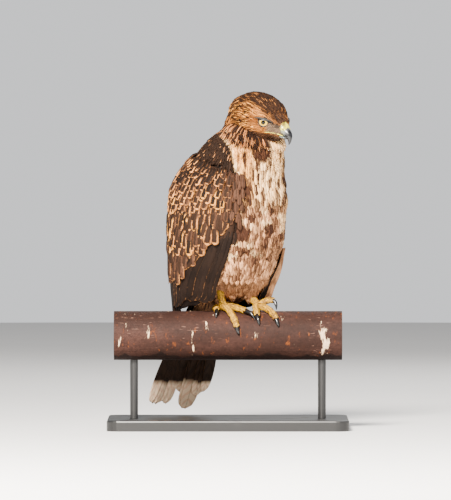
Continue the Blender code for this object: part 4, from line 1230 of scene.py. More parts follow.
def torso_markings(points: Array) -> Markings:
    """The markings of breast, belly, neck and back at points.

    Args:
        points: Places on or near the body.

    Returns:
        Their markings.
    """
    forward, left, height = BIRD.read(points)
    across = (points - PERCH)[:, 0]
    turn = np.degrees(np.arctan2(-left, forward - 6.0))
    own = np.stack((forward, left, height), axis=1)
    count = len(points)
    palette = PALETTE
    made = Markings(
        np.tile(palette.cream, (count, 1)),
        np.tile(palette.brown, (count, 1)),
        np.tile(palette.cream, (count, 1)),
        np.tile((0.0, 0.0, 0.0), (count, 1)),
    )
    seen = window(turn, -50, 150, 12)
    gold = ease((52.0 - across) / 24.0) * window(height, 196, 300, 20) * seen
    paint(made, gold * 0.75, palette.buff, palette.brown, palette.cream, (0.0, 0.0, 0.0))
    fine = ease((patches(own, 5.0, 32, (1.0, 1.0, 3.6)) - 0.60) / 0.2)
    paint(made, fine * 0.45, palette.buff, palette.brown, palette.cream, (0.35, 0.0, 0.0))
    belly = 1.0 - ease((height - 184.0) / 26.0)
    paint(made, belly, palette.band_ground, palette.band_mark, palette.cream, (0.15, 0.1, 0.0))
    mottle = ease((patches(own, 8.0, 33, (1.1, 1.1, 1.6)) - 0.45) / 0.3) * belly
    paint(made, mottle * 0.65, palette.band_mark, palette.brown, palette.band_ground, (0.3, 0.0, 0.15))
    low = 1.0 - ease((height - 106.0) / 20.0)
    paint(made, low, palette.trousers, palette.trousers_mark, palette.buff, (0.1, 0.0, 0.0))
    streaky = ease((patches(own, 5.5, 34, (1.0, 1.0, 2.4)) - 0.52) / 0.25) * low
    paint(made, streaky * 0.8, palette.trousers_mark, palette.brown, palette.trousers, (0.3, 0.0, 0.0))
    unseen = 1.0 - seen
    drops = ease((patches(own, 12.0, 31, (1.0, 1.0, 2.6)) - 0.58) / 0.12) * window(height, 112, 290, 14)
    paint(made, drops * unseen, palette.brown, palette.band_mark, palette.cream, (0.6, 0.0, 0.0))
    pale = placed_marks(points, PALE_MARKS) * seen
    paint(made, pale * 0.9, palette.cream, palette.band_ground, palette.cream, (0.0, 0.0, 0.0))
    dark = placed_marks(points, DARK_MARKS) * seen
    paint(made, dark, palette.brown, palette.band_mark, palette.brown, (0.5, 0.0, 0.0))
    core = ease((dark - 0.6) / 0.3) * ease((patches(own, 5.0, 36, (1.0, 1.0, 2.0)) - 0.3) / 0.4)
    paint(made, core, palette.band_mark, palette.collar, palette.brown, (0.3, 0.0, 0.0))
    line = read_rows(SHOULDER_LINE, height)[..., 0]
    rim = window(across, line - 1.0, line + 3.0, 2.0) * window(height, 228, 292, 8) * (turn > 0.0)
    paint(made, rim, palette.cream, palette.buff, palette.cream, (0.0, 0.0, 0.0))
    collar = ease((height - read_rows(COLLAR_LINE, across)[..., 0]) / 7.0 + 0.5)
    paint(made, collar, palette.collar, palette.quill, palette.collar_light, (0.4, 0.0, 0.06))
    tips = ease((patches(own, 4.0, 35, (1.0, 1.0, 3.4)) - 0.56) / 0.14) * collar
    paint(made, tips * 0.95, palette.collar_light, palette.brown, palette.cream, (0.3, 0.0, 0.1))
    shoulder = ease((line - across) / 3.0 + 0.5) * (height > 140.0) * (turn > 0.0)
    shoulder = np.maximum(shoulder, ease((np.abs(turn) - 80.0) / 20.0)) * ease((height - 60.0) / 20.0)
    paint(made, shoulder, palette.mantle, palette.quill, palette.mantle_edge, (0.3, 0.0, 0.0))
    flecks = shoulder * ease((patches(own, 3.0, 37) - 0.90) / 0.05)
    paint(made, flecks * 0.9, palette.mantle_edge, palette.mantle, palette.cream, (0.2, 0.0, 0.1))
    return made


def head_markings(points: Array) -> Markings:
    """The markings of the head at points.

    Args:
        points: Places on or near the head.

    Returns:
        Their markings.
    """
    forward, left, up = HEAD.read(points)
    own = np.stack((forward, left, up), axis=1)
    palette = PALETTE
    count = len(points)
    made = Markings(
        np.tile(palette.cheek, (count, 1)),
        np.tile(palette.cheek_mark, (count, 1)),
        np.tile(palette.crown_light, (count, 1)),
        np.tile((0.0, 0.0, 0.0), (count, 1)),
    )
    soft = patches(own, 13.0, 5)
    wavy = own + np.stack((0.0 * up, 0.0 * up, 0.30 * forward + 2.0 * np.sin(forward / 6.0)), axis=1)
    lines = patches(wavy, 3.6, 51, (4.4, 1.0, 1.0))
    cheek_lines = ease((lines - 0.50) / 0.2) * (0.35 + 0.65 * ease((-forward + 14.0) / 24.0))
    paint(made, cheek_lines * 0.9, palette.cheek_mark, palette.collar, palette.cheek, (0.3, 0.0, 0.0))
    glow = ease((patches(wavy, 3.8, 52, (4.0, 1.0, 1.0)) - 0.70) / 0.15) * (forward < 14.0)
    paint(made, glow * 0.9, palette.buff, palette.cheek_mark, palette.cream, (0.0, 0.0, 0.0))
    line = read_rows(CROWN_LINE, forward)[..., 0]
    crown = ease((up - line + 5.0 * (lines - 0.5) + 2.0 * (soft - 0.5)) / 4.0 + 0.5)
    paint(made, crown, palette.crown, palette.quill, palette.crown, (0.3, 0.0, 0.0))
    red = crown * patches(own, 7.0, 54, (2.0, 1.0, 1.0))
    paint(made, red * 0.4, palette.cheek_mark, palette.quill, palette.crown_light, (0.3, 0.0, 0.0))
    crown_lines = ease((lines - 0.66) / 0.14) * crown * (0.35 + 0.65 * ease((22.0 - forward) / 30.0))
    paint(made, crown_lines * 0.6, palette.crown_light, palette.crown, palette.buff, (0.1, 0.0, 0.0))
    rust = window(forward, 0, 16, 8) * window(up, -2, 5, 5)
    paint(made, rust * 0.6, palette.rust, palette.cheek_mark, palette.rust, (0.2, 0.0, 0.0))
    stripe = window(forward, 12, 35, 5) * window(up - line, -7.5, -2.0, 2.5)
    paint(made, stripe * 0.85, palette.crown_light, palette.cheek_mark, palette.buff, (0.0, 0.0, 0.0))
    nape = ease((-forward - 24.0) / 14.0) * ease((12.0 - up) / 20.0)
    paint(made, nape * ease((lines - 0.25) / 0.3) * 0.8, palette.crown, palette.quill, palette.crown, (0.3, 0, 0))
    low = ease((-up - 15.0) / 7.0) * ease((24.0 - forward) / 10.0)
    paint(made, low * 0.9, palette.collar, palette.quill, palette.collar_light, (0.4, 0.0, 0.0))
    tips = low * ease((patches(own, 4.5, 53, (2.0, 1.0, 1.0)) - 0.55) / 0.14)
    paint(made, tips * 0.9, palette.collar_light, palette.collar, palette.cream, (0.1, 0.0, 0.0))
    malar = window(forward, 12, 44, 6) * window(up, -26, -14.0, 3)
    paint(made, malar * 0.92, palette.crown, palette.quill, palette.brown, (0.2, 0.0, 0.0))
    chin = ease((forward - 37.0) / 6.0) * ease((-up - 14.0) / 3.0)
    paint(made, chin * 0.9, palette.chin, palette.cheek_mark, palette.chin, (0.3, 0.0, 0.0))
    lores = window(forward, 32, 60, 4) * window(up, -12.5, 1.5 + 0.22 * (46.0 - forward), 2)
    paint(made, lores, palette.lores, palette.cheek_mark, palette.lores, (0.0, 0.0, 0.0))
    dark_line = window(forward, 29, 40, 3) * window(up + 0.25 * (forward - 34.0), 2.2, 4.8, 1.4)
    paint(made, dark_line, palette.quill, palette.quill, palette.quill, (0.0, 0.0, 0.0))
    spot = window(forward, 41, 46, 3) * window(up, -3, 2, 3)
    paint(made, spot * 0.8, palette.quill, palette.quill, palette.quill, (0.0, 0.0, 0.0))
    return made


@dataclass
class Roots:
    """Where small feathers grow, how they lie and what they look like."""

    place: Array
    out: Array
    lie: Array
    unwrap: Array
    length: Array
    width: Array
    lift: Array
    markings: Markings

    def keep(self, chosen: Array) -> "Roots":
        """Only the chosen roots."""
        marks = self.markings
        return Roots(
            self.place[chosen], self.out[chosen], self.lie[chosen], self.unwrap[chosen],
            self.length[chosen], self.width[chosen], self.lift[chosen],
            Markings(marks.ground[chosen], marks.mark[chosen], marks.edge[chosen], marks.marking[chosen]),
        )


def set_attribute(mesh: bpy.types.Mesh, name: str, kind: str, values: Array) -> None:
    """Store one value for each point of a mesh.

    Args:
        mesh: The mesh.
        name: The attribute's name.
        kind: FLOAT, INT, FLOAT_VECTOR or FLOAT_COLOR.
        values: A row for each point.
    """
    layer = mesh.attributes.new(name, kind, "POINT")
    values = np.asarray(values, dtype=float)
    if kind == "FLOAT_COLOR":
        values = np.concatenate((values, np.ones((len(values), 1))), axis=1)
    key = {"FLOAT": "value", "INT": "value", "FLOAT_VECTOR": "vector", "FLOAT_COLOR": "color"}[kind]
    layer.data.foreach_set(key, values.ravel())


def mark_points(mesh: bpy.types.Mesh, markings: Markings, tone: Array) -> None:
    """Store markings on the points of a mesh."""
    set_attribute(mesh, "ground", "FLOAT_COLOR", markings.ground)
    set_attribute(mesh, "mark", "FLOAT_COLOR", markings.mark)
    set_attribute(mesh, "edge", "FLOAT_COLOR", markings.edge)
    set_attribute(mesh, "marking", "FLOAT_VECTOR", markings.marking)
    set_attribute(mesh, "tone", "FLOAT", tone)


class TuftShapes:
    """The small closed feathers that the coat repeats, each a metre long before it is scaled."""

    def __init__(self) -> None:
        """Make a collection of variants for each kind of tuft."""
        self.collections: dict[Tuft, bpy.types.Collection] = {}
        for kind in Tuft:
            group = bpy.data.collections.new("tufts_" + kind.value)
            for variant in range(3):
                draw = np.random.default_rng(40 + variant)
                mesh = self.down(draw) if kind is Tuft.DOWN else self.vane(kind, draw)
                item = bpy.data.objects.new(f"tuft_{kind.value}_{variant}", mesh)
                group.objects.link(item)
            self.collections[kind] = group

    def vane(self, kind: Tuft, draw: np.random.Generator) -> bpy.types.Mesh:
        """A thin closed vane, arched over its shaft, with a ragged tip.

        Args:
            kind: Contour feather, hackle or scale.
            draw: Source of small irregularities.

        Returns:
            The mesh, one unit long along Y.
        """
        rows, columns, ragged = {
            Tuft.CONTOUR: ([(0, 0.16), (0.3, 0.38), (0.55, 0.49), (0.76, 0.5), (0.91, 0.40), (1, 0.2)], 5, 0.05),
            Tuft.COVERT: ([(0, 0.2), (0.4, 0.45), (0.78, 0.5), (0.91, 0.46), (0.98, 0.32), (1, 0.16)], 5, 0.015),
            Tuft.HACKLE: ([(0, 0.22), (0.32, 0.48), (0.66, 0.46), (0.88, 0.26), (1, 0.05)], 3, 0.05),
            Tuft.SCALE: ([(0, 0.36), (0.25, 0.5), (0.7, 0.5), (1, 0.34)], 5, 0.0),
        }[kind]
        bulge = 0.30 if kind is Tuft.SCALE else 0.10
        points = []
        maps = []
        for along, half in rows:
            rise = bulge * math.sin(math.pi * along) - 0.05 * along * along
            left = half * (1.0 + draw.uniform(-0.14, 0.14) * (ragged > 0.0))
            right = half * (1.0 + draw.uniform(-0.14, 0.14) * (ragged > 0.0))
            for j in range(columns):
                across = 2.0 * j / (columns - 1) - 1.0
                x = across * (right if across > 0.0 else left)
                y = along * (1.0 + ragged * draw.uniform(-1.0, 1.0)) - 0.05 * across * across * along
                points.append((x, y, rise + 0.04 - 0.10 * across * across))
                maps.append((0.5 + 0.5 * across, along))
        count = len(rows)
        faces = grid_faces(count, columns)
        for i in range(count - 1):
            a = i * columns
            b = a + columns
            faces.append((a, b, b + columns - 1, b - 1))
        faces.append(tuple(range(columns - 1, -1, -1)))
        faces.append(tuple(range((count - 1) * columns, count * columns)))
        return self.finish(kind.value, points, faces, maps)

    def down(self, draw: np.random.Generator) -> bpy.types.Mesh:
        """A loose tuft of fine barbs.

        Args:
            draw: Source of irregularity.

        Returns:
            The mesh, one unit long along Y.
        """
        points = []
        maps = []
        faces = []
        barbs = 7
        for k in range(barbs):
            fan = (k + 0.5) / barbs * 2.0 - 1.0
            reach = (1.0 - 0.28 * fan * fan) * draw.uniform(0.82, 1.0)
            tip = (0.5 * fan + draw.uniform(-0.05, 0.05), reach, draw.uniform(-0.05, 0.08))
            middle = (0.36 * fan, 0.45 * reach, 0.05 + draw.uniform(-0.02, 0.03))
            first = len(points)
            for centre, half in (((0.10 * fan, 0.0, 0.0), 0.05), (middle, 0.085)):
                x, y, z = centre
                points += [(x - half, y, z), (x, y, z + half * 0.5), (x + half, y, z)]
                maps += [((fan + 1.0) / 2.0, y / reach)] * 3
            points.append(tip)
            maps.append(((fan + 1.0) / 2.0, 1.0))
            for j in range(3):
                n = (j + 1) % 3
                faces.append((first + j, first + n, first + 3 + n, first + 3 + j))
                faces.append((first + 3 + j, first + 3 + n, first + 6))
            faces.append((first + 2, first + 1, first))
        return self.finish("down", points, faces, maps)

    def finish(self, name: str, points: list, faces: list, maps: list) -> bpy.types.Mesh:
        """Make the mesh with its own map.

        Args:
            name: The mesh's name.
            points: Its points.
            faces: Its faces.
            maps: A place across and along the feather for each point.

        Returns:
            The mesh, faces outwards.
        """
        mesh = bpy.data.meshes.new("tuft_" + name)
        mesh.from_pydata(points, [], faces)
        mesh.update()
        face_outwards(mesh)
        mesh.shade_smooth()
        layer = mesh.uv_layers.new(name="Vane")
        for loop in mesh.loops:
            layer.data[loop.index].uv = maps[loop.vertex_index]
        return mesh


class CoatTree:
    """Geometry nodes that set a feather on each root and make them one mesh."""

    PATCH = 0.003

    def __init__(self) -> None:
        """Build the tree, with named inputs for its sizes."""
        self.tree = bpy.data.node_groups.new("coat", "GeometryNodeTree")
        self.sockets: dict[str, str] = {}
        for label, kind, side in (
            ("Roots", "NodeSocketGeometry", "INPUT"),
            ("Feathers", "NodeSocketCollection", "INPUT"),
            ("Width", "NodeSocketFloat", "INPUT"),
            ("Length", "NodeSocketFloat", "INPUT"),
            ("Roll", "NodeSocketFloat", "INPUT"),
            ("Patch", "NodeSocketFloat", "INPUT"),
            ("Seed", "NodeSocketInt", "INPUT"),
            ("Material", "NodeSocketMaterial", "INPUT"),
            ("Coat", "NodeSocketGeometry", "OUTPUT"),
        ):
            made = self.tree.interface.new_socket(label, in_out=side, socket_type=kind)
            self.sockets[label] = made.identifier
        nodes = Nodes(self.tree)
        given = self.tree.nodes.new("NodeGroupInput").outputs
        lie = self.named(nodes, "lie")
        face = self.named(nodes, "face")
        turned = nodes.add(
            "FunctionNodeAxesToRotation", {0: lie, 1: face}, primary_axis="Y", secondary_axis="Z"
        ).outputs[0]
        random_roll = nodes.add("FunctionNodeRandomValue", data_type="FLOAT")
        nodes.feed(random_roll.inputs[2], -1.0)
        nodes.feed(random_roll.inputs[3], 1.0)
        nodes.feed(random_roll.inputs["Seed"], given["Seed"])
        roll = nodes.math("MULTIPLY", random_roll.outputs[1], given["Roll"])
        spin = nodes.add("FunctionNodeAxisAngleToRotation", {"Axis": (0.0, 1.0, 0.0), "Angle": roll}).outputs[0]
        turned = nodes.add("FunctionNodeRotateRotation", {0: turned, 1: spin}, rotation_space="LOCAL").outputs[0]
        scale_by = nodes.add("ShaderNodeCombineXYZ", {0: given["Width"], 1: given["Length"], 2: given["Length"]})
        size = nodes.add(
            "ShaderNodeVectorMath", {0: self.named(nodes, "size"), 1: scale_by.outputs[0]}, operation="MULTIPLY"
        ).outputs[0]
        shapes = nodes.add("GeometryNodeCollectionInfo", {"Collection": given["Feathers"]})
        nodes.feed(shapes.inputs["Separate Children"], True)
        nodes.feed(shapes.inputs["Reset Children"], True)
        choice = nodes.add("FunctionNodeRandomValue", data_type="INT")
        nodes.feed(choice.inputs[4], 0)
        nodes.feed(choice.inputs[5], 2)
        nodes.feed(choice.inputs["Seed"], given["Seed"])
        placed = nodes.add("GeometryNodeInstanceOnPoints", {
            "Points": given["Roots"],
            "Instance": shapes.outputs[0],
            "Pick Instance": True,
            "Instance Index": choice.outputs[2],
            "Rotation": turned,
            "Scale": size,
        })
        real = nodes.add("GeometryNodeRealizeInstances", {0: placed.outputs[0]})
        vane = self.named(nodes, "Vane")
        centred = nodes.add("ShaderNodeVectorMath", {0: vane, 1: (0.5, 0.5, 0.0)}, operation="SUBTRACT").outputs[0]
        small = nodes.add("ShaderNodeVectorMath", {0: centred}, operation="SCALE")
        nodes.feed(small.inputs["Scale"], given["Patch"])
        spot = nodes.add(
            "ShaderNodeVectorMath", {0: small.outputs[0], 1: self.named(nodes, "unwrap")}, operation="ADD"
        ).outputs[0]
        stored = nodes.add("GeometryNodeStoreNamedAttribute", data_type="FLOAT2", domain="CORNER")
        nodes.feed(stored.inputs["Geometry"], real.outputs[0])
        stored.inputs["Name"].default_value = "OFBake"
        nodes.feed(stored.inputs["Value"], spot)
        dressed = nodes.add("GeometryNodeSetMaterial", {"Geometry": stored.outputs[0], "Material": given["Material"]})
        out = self.tree.nodes.new("NodeGroupOutput")
        nodes.feed(out.inputs[0], dressed.outputs[0])

    def named(self, nodes: Nodes, name: str) -> bpy.types.NodeSocket:
        """A named vector attribute as a socket."""
        node = nodes.add("GeometryNodeInputNamedAttribute", data_type="FLOAT_VECTOR")
        node.inputs["Name"].default_value = name
        return node.outputs["Attribute"]

    def grow(
        self, name: str, roots: Roots, shapes: bpy.types.Collection, material: bpy.types.Material, seed: int
    ) -> bpy.types.Mesh:
        """Grow feathers on roots.

        Args:
            name: The mesh's name.
            roots: Where the feathers grow.
            shapes: The feathers to choose from.
            material: What they are made of.
            seed: Fixes their small differences.

        Returns:
            One plain mesh of all the feathers.
        """
        draw = np.random.default_rng(seed)
        count = len(roots.place)
        mesh = bpy.data.meshes.new(name + "_roots")
        mesh.vertices.add(count)
        mesh.vertices.foreach_set("co", (roots.place * MM).ravel())
        lift = roots.lift[:, None]
        lie = unit(roots.lie * np.cos(lift) + roots.out * np.sin(lift))
        face = unit(roots.out * np.cos(lift) - roots.lie * np.sin(lift))
        set_attribute(mesh, "lie", "FLOAT_VECTOR", lie)
        set_attribute(mesh, "face", "FLOAT_VECTOR", face)
        spread = draw.uniform(0.86, 1.14, count)
        size = np.stack((roots.width, roots.length * spread, roots.length * spread), axis=1) * MM
        set_attribute(mesh, "size", "FLOAT_VECTOR", size)
        set_attribute(mesh, "unwrap", "FLOAT_VECTOR", np.concatenate((roots.unwrap, np.zeros((count, 1))), axis=1))
        mark_points(mesh, roots.markings, draw.uniform(0.0, 1.0, count))
        item = bpy.data.objects.new(name + "_roots", mesh)
        bpy.context.scene.collection.objects.link(item)
        modifier = item.modifiers.new("coat", "NODES")
        modifier.node_group = self.tree
        for label, value in (
            ("Feathers", shapes), ("Width", 1.0), ("Length", 1.0), ("Roll", 0.22),
            ("Patch", self.PATCH), ("Seed", seed), ("Material", material),
        ):
            modifier[self.sockets[label]] = value
        graph = bpy.context.evaluated_depsgraph_get()
        made = bpy.data.meshes.new_from_object(item.evaluated_get(graph))
        bpy.data.objects.remove(item, do_unlink=True)
        made.name = name
        for spent in ("lie", "face", "size", "unwrap"):
            if spent in made.attributes:
                made.attributes.remove(made.attributes[spent])
        made.shade_smooth()
        return made


@dataclass
class RingField:
    """Rows of roots on a surface that is drawn ring by ring."""

    surface: object
    start: float
    end: float
    turns: tuple[float, float]
    step_along: float
    step_across: float
    seed: int
    probe: float = 0.6

    def sample(self) -> tuple[Array, Array]:
        """Staggered places on the surface.

        Returns:
            The key of each place's ring, and its turn.
        """
        draw = np.random.default_rng(self.seed)
        keys = []
        turns = []
        fine = np.linspace(self.turns[0], self.turns[1], 97)
        way = 1.0 if self.end > self.start else -1.0
        key = self.start
        row = 0
        while (self.end - key) * way > 0.0:
            ring = self.surface(np.full(97, key), fine)
            gaps = np.linalg.norm(np.diff(ring, axis=0), axis=1)
            run = np.concatenate(((0.0,), np.cumsum(gaps)))
            count = max(3, int(run[-1] / self.step_across))
            spots = (np.arange(count) + 0.5 * (row % 2) + draw.uniform(-0.18, 0.18, count)) / count
            turns.append(np.interp(spots * run[-1], run, fine))
            ahead = self.surface(np.full(97, key + way), fine)
            speed = np.linalg.norm(ahead - ring, axis=1).mean()
            keys.append(key + way * draw.uniform(-0.18, 0.18, count) * self.step_along / speed)
            key += way * self.step_along / speed
            row += 1
        return np.concatenate(keys), np.concatenate(turns)

    def normals(self, keys: Array, turns: Array, centre: Array) -> Array:
        """The directions out of the surface at places on it, away from a centre."""
        along = self.surface(keys + 0.4, turns) - self.surface(keys - 0.4, turns)
        across = self.surface(keys, turns + self.probe) - self.surface(keys, turns - self.probe)
        out = unit(np.cross(along, across))
        outward = np.sign(np.sum(out * (self.surface(keys, turns) - centre), axis=1, keepdims=True))
        return out * np.where(outward == 0.0, 1.0, outward)


def along_surface(way: Array, out: Array) -> Array:
    """Directions laid flat on a surface."""
    return unit(way - out * np.sum(way * out, axis=-1, keepdims=True))


@dataclass(frozen=True)
class CoatZone:
    """A zone of the body's small feathers: its bounds, spacing, feathers and their size."""

    name: str
    low: float
    high: float
    turns: tuple[float, float]
    steps: tuple[float, float]
    shape: Tuft
    length: float
    width: float
    lift: float
    seed: int


NECK_LINE = 268.0
COAT_ZONES = (
    CoatZone("coat_neck", 262.0, 328.0, (-180.0, 180.0), (3.0, 2.3), Tuft.HACKLE, 15.0, 3.3, 0.42, 12),
    CoatZone("coat_breast", 180.0, 266.0, (-100.0, 70.0), (4.8, 3.9), Tuft.CONTOUR, 20.0, 7.4, 0.28, 13),
    CoatZone("coat_belly", 96.0, 184.0, (-104.0, 70.0), (5.2, 4.6), Tuft.CONTOUR, 21.0, 8.8, 0.26, 14),
    CoatZone("coat_wisps", 98.0, 262.0, (-100.0, 64.0), (8.0, 8.0), Tuft.DOWN, 20.0, 8.0, 0.33, 19),
    CoatZone("coat_vent", 50.0, 106.0, (-180.0, 180.0), (3.6, 3.4), Tuft.DOWN, 18.0, 9.0, 0.30, 15),
    CoatZone("coat_back", 80.0, 276.0, (160.0, 200.0), (6.0, 5.6), Tuft.CONTOUR, 26.0, 14.0, 0.45, 16),
)


@dataclass
class Coat:
    """The skin and the small feathers of head, neck, body and thighs."""

    tree: CoatTree
    shapes: TuftShapes
    small: bpy.types.Material
    soft: bpy.types.Material
    under: bpy.types.Material
    head_depth: float = 3.2
    body_depth: float = 6.0
    thigh_depth: float = 5.0
    voxel: float = 2.4

    def skin(self) -> None:
        """One closed skin under the feathers of the whole bird."""
        turns = np.linspace(0.0, 360.0, 48, endpoint=False)
        shapes = []
        heights = np.linspace(BELLY[0][0] + 4.0, BREAST_AND_NECK[-1][0] - 4.0, 60)
        rings = np.array([torso_surface(np.full(48, key), turns, -self.body_depth) for key in heights])
        shapes.append(ring_loft("torso_skin", rings))
        places = np.linspace(HEAD_SECTIONS[0][0] + self.head_depth, HEAD_SECTIONS[-1][0] - 0.5, 44)
        rings = []
        for place in places:
            depth = -self.skin_depth_at(place)
            rings.append(head_surface(np.full(48, place), turns, depth))
        shapes.append(ring_loft("head_skin", np.array(rings)))
        for rows in (RIGHT_THIGH, LEFT_THIGH):
            line = smooth_line(rows, 16)
            radii = self.thigh_radius(line)
            shapes.append(ring_loft("thigh_skin", tube_rings(perch_points(line[:, :3]), radii, 24)))
        joined = bmesh.new()
        for mesh in shapes:
            joined.from_mesh(mesh)
        whole = bpy.data.meshes.new("plumage_skin")
        joined.to_mesh(whole)
        joined.free()
        item = bpy.data.objects.new("skin_form", whole)
        bpy.context.scene.collection.objects.link(item)
        remesh = item.modifiers.new("remesh", "REMESH")
        remesh.mode = "VOXEL"
        remesh.voxel_size = self.voxel * MM
        smooth = item.modifiers.new("smooth", "SMOOTH")
        smooth.iterations = 6
        smooth.factor = 0.5
        graph = bpy.context.evaluated_depsgraph_get()
        skin = bpy.data.meshes.new_from_object(item.evaluated_get(graph))
        bpy.data.objects.remove(item, do_unlink=True)
        skin.name = "plumage_skin"
        skin.shade_smooth()
        points = np.empty(len(skin.vertices) * 3)
        skin.vertices.foreach_get("co", points)
        points = points.reshape(-1, 3) / MM
        on_head = inside_head(points, 2.0)
        body = torso_markings(points)
        head = head_markings(points)
        for name in ("ground", "mark", "edge", "marking"):
            setattr(body, name, blend(getattr(body, name), getattr(head, name), on_head.astype(float)))
        mark_points(skin, body, np.full(len(points), 0.5))
        add_piece(
            "plumage_skin", skin, self.under,
            ("torso", "neck", "head", "thigh_left", "thigh_right"),
        )

    def thigh_radius(self, line: Array) -> Array:
        """The skin's radius on a leg, deeper under the long tufts low down."""
        deep = self.thigh_depth + 8.0 * ease((96.0 - line[:, 2]) / 20.0)
        return np.maximum(line[:, 3] - deep, 4.5)

    def beside_leg(self, roots: Roots) -> Array:
        """Whether roots' tips stay clear of the right tarsus, which the camera sees."""
        across, back, height = ((roots.place + roots.lie * roots.length[:, None] * 0.8) - PERCH).T
        return (across > read_rows(TROUSER_LINE, height)[..., 0]) | (back > 30.0)

    def skin_depth_at(self, forward: float) -> float:
        """How deep the skin lies under the head's outline: little by the bill."""
        return float(blend(self.head_depth, 0.6, ease(np.array((forward - 30.0) / 12.0))))

    def streak_roots(self) -> Roots:
        """Roots of longer, narrow feathers over the head's short ones, some dark and some pale."""
        roots = self.head_roots((3.2, 1.7), 24)
        forward, left, up = HEAD.read(roots.place)
        roots = roots.keep((forward < 30.0) & (up > -20.0) & ((forward < 17.0) | (up > 7.5)))
        forward, left, up = HEAD.read(roots.place)
        draw = np.random.default_rng(25)
        crown = ease((up - read_rows(CROWN_LINE, forward)[..., 0] + 3.0) / 5.0)
        behind = ease((12.0 - forward) / 30.0)
        share = blend(0.26 + 0.36 * behind, 0.90 - 0.18 * behind, crown)
        dark = (draw.random(len(forward)) < share).astype(float)
        marks = roots.markings
        palette = PALETTE
        paint(marks, (1.0 - dark) * (0.3 + 0.5 * crown), palette.crown_light, palette.cheek_mark, palette.buff, (0.3, 0, 0))
        glow = (1.0 - dark) * (draw.random(len(forward)) < 0.3) * (1.0 - crown)
        paint(marks, glow * 0.8, palette.buff, palette.cheek_mark, palette.cream, (0.0, 0.0, 0.0))
        paint(marks, dark * 0.9, palette.crown, palette.quill, palette.cheek_mark, (0.3, 0.0, 0.1))
        roots.place = roots.place + roots.out * 0.5
        roots.length = roots.length * 1.40
        roots.width = roots.width * 0.60
        roots.lift = roots.lift * 0.55
        return roots

    def head_roots(self, steps: tuple[float, float], seed: int) -> Roots:
        """Roots of the head's short feathers.

        Args:
            steps: Distances between roots, along and across.
            seed: Fixes their small differences.

        Returns:
            The roots.
        """
        def surface(keys: Array, turns: Array) -> Array:
            depth = blend(self.head_depth, 0.6, ease((keys - 30.0) / 12.0))
            return head_surface(keys, turns, -depth)

        field_ = RingField(surface, 48.6, HEAD_SECTIONS[0][0] + 3.4, (0.0, 360.0), *steps, seed)
        keys, turns = field_.sample()
        place = surface(keys, turns)
        out = field_.normals(keys, turns, HEAD.origin)
        forward, left, up = HEAD.read(place)
        behind = ease((-forward - 8.0) / 36.0)[:, None]
        droop = (0.10 + 0.35 * ease((-up + 4.0) / 22.0))[:, None]
        way = -HEAD.forward * (1.0 - 0.8 * behind) - HEAD.up * droop * 0.6 + DOWN * behind * 1.1
        lie = along_surface(way, out)
        near_bill = ease((forward - 22.0) / 18.0)
        length = blend(9.5, 3.4, near_bill)
        width = blend(2.7, 1.2, near_bill)
        lift = blend(0.22, 0.22, near_bill)
        crest = ease((-forward - 14.0) / 24.0) * ease((4.0 - up) / 18.0)
        length = length * (1.0 + 1.0 * crest)
        draw = np.random.default_rng(seed)
        lift = lift + 0.34 * crest + 0.14 * draw.random(len(keys)) ** 3 * (1.0 - near_bill)
        low = ease((-up - 16.0) / 8.0) * ease((30.0 - forward) / 10.0)
        length = length * (1.0 + 0.3 * low)
        unwrap = np.stack((turns % 360.0 / 360.0, 0.60 + 0.24 * (keys + 51.0) / 97.0), axis=1)
        shown = head_markings(place + lie * (0.55 * length)[:, None])
        roots = Roots(place, out, lie, unwrap, length, width, lift, shown)
        free = ~inside_torso(place, -7.0)
        for side in Side:
            axis = eye_axis(side)
            across = unit(np.cross(HEAD.up, axis))
            away = place - eye_centre(side)
            rise = away @ np.cross(axis, across)
            oval = ((away @ across) / 8.3) ** 2 + (rise / np.where(rise > 0.0, 4.4, 7.0)) ** 2
            free &= (oval > 1.0) | (away @ axis < 0.0)
        return roots.keep(free)

    def body_roots(self, low: float, high: float, steps: tuple, turns: tuple, seed: int) -> Roots:
        """Roots on the torso or neck.

        Args:
            low: Lowest height.
            high: Highest height.
            steps: Distances between roots, along and across.
            turns: First and last turn from the breast.
            seed: Fixes their small differences.

        Returns:
            The roots, without sizes that the caller then sets.
        """
        def surface(keys: Array, places: Array) -> Array:
            return torso_surface(keys, places, -self.body_depth)

        field_ = RingField(surface, high, low, turns, steps[0], steps[1], seed)
        keys, places = field_.sample()
        place = surface(keys, places)
        centre = BIRD.place(np.full(len(keys), -4.0), np.zeros(len(keys)), keys)
        out = field_.normals(keys, places, centre)
        lie = along_surface(np.tile(DOWN, (len(keys), 1)), out)
        unwrap = np.stack(((places % 360.0) / 360.0, 0.02 + 0.54 * (keys - 47.0) / 283.0), axis=1)
        full = np.ones(len(keys))
        return Roots(place, out, lie, unwrap, full, full, full, torso_markings(place))

    def grow(self) -> None:
        """Grow every zone of small feathers."""
        hackles = self.shapes.collections[Tuft.HACKLE]
        down = self.shapes.collections[Tuft.DOWN]
        self.add("coat_head", self.head_roots((2.1, 2.0), 11), hackles, self.small, 21)
        self.add("coat_head_streaks", self.streak_roots(), hackles, self.small, 22)

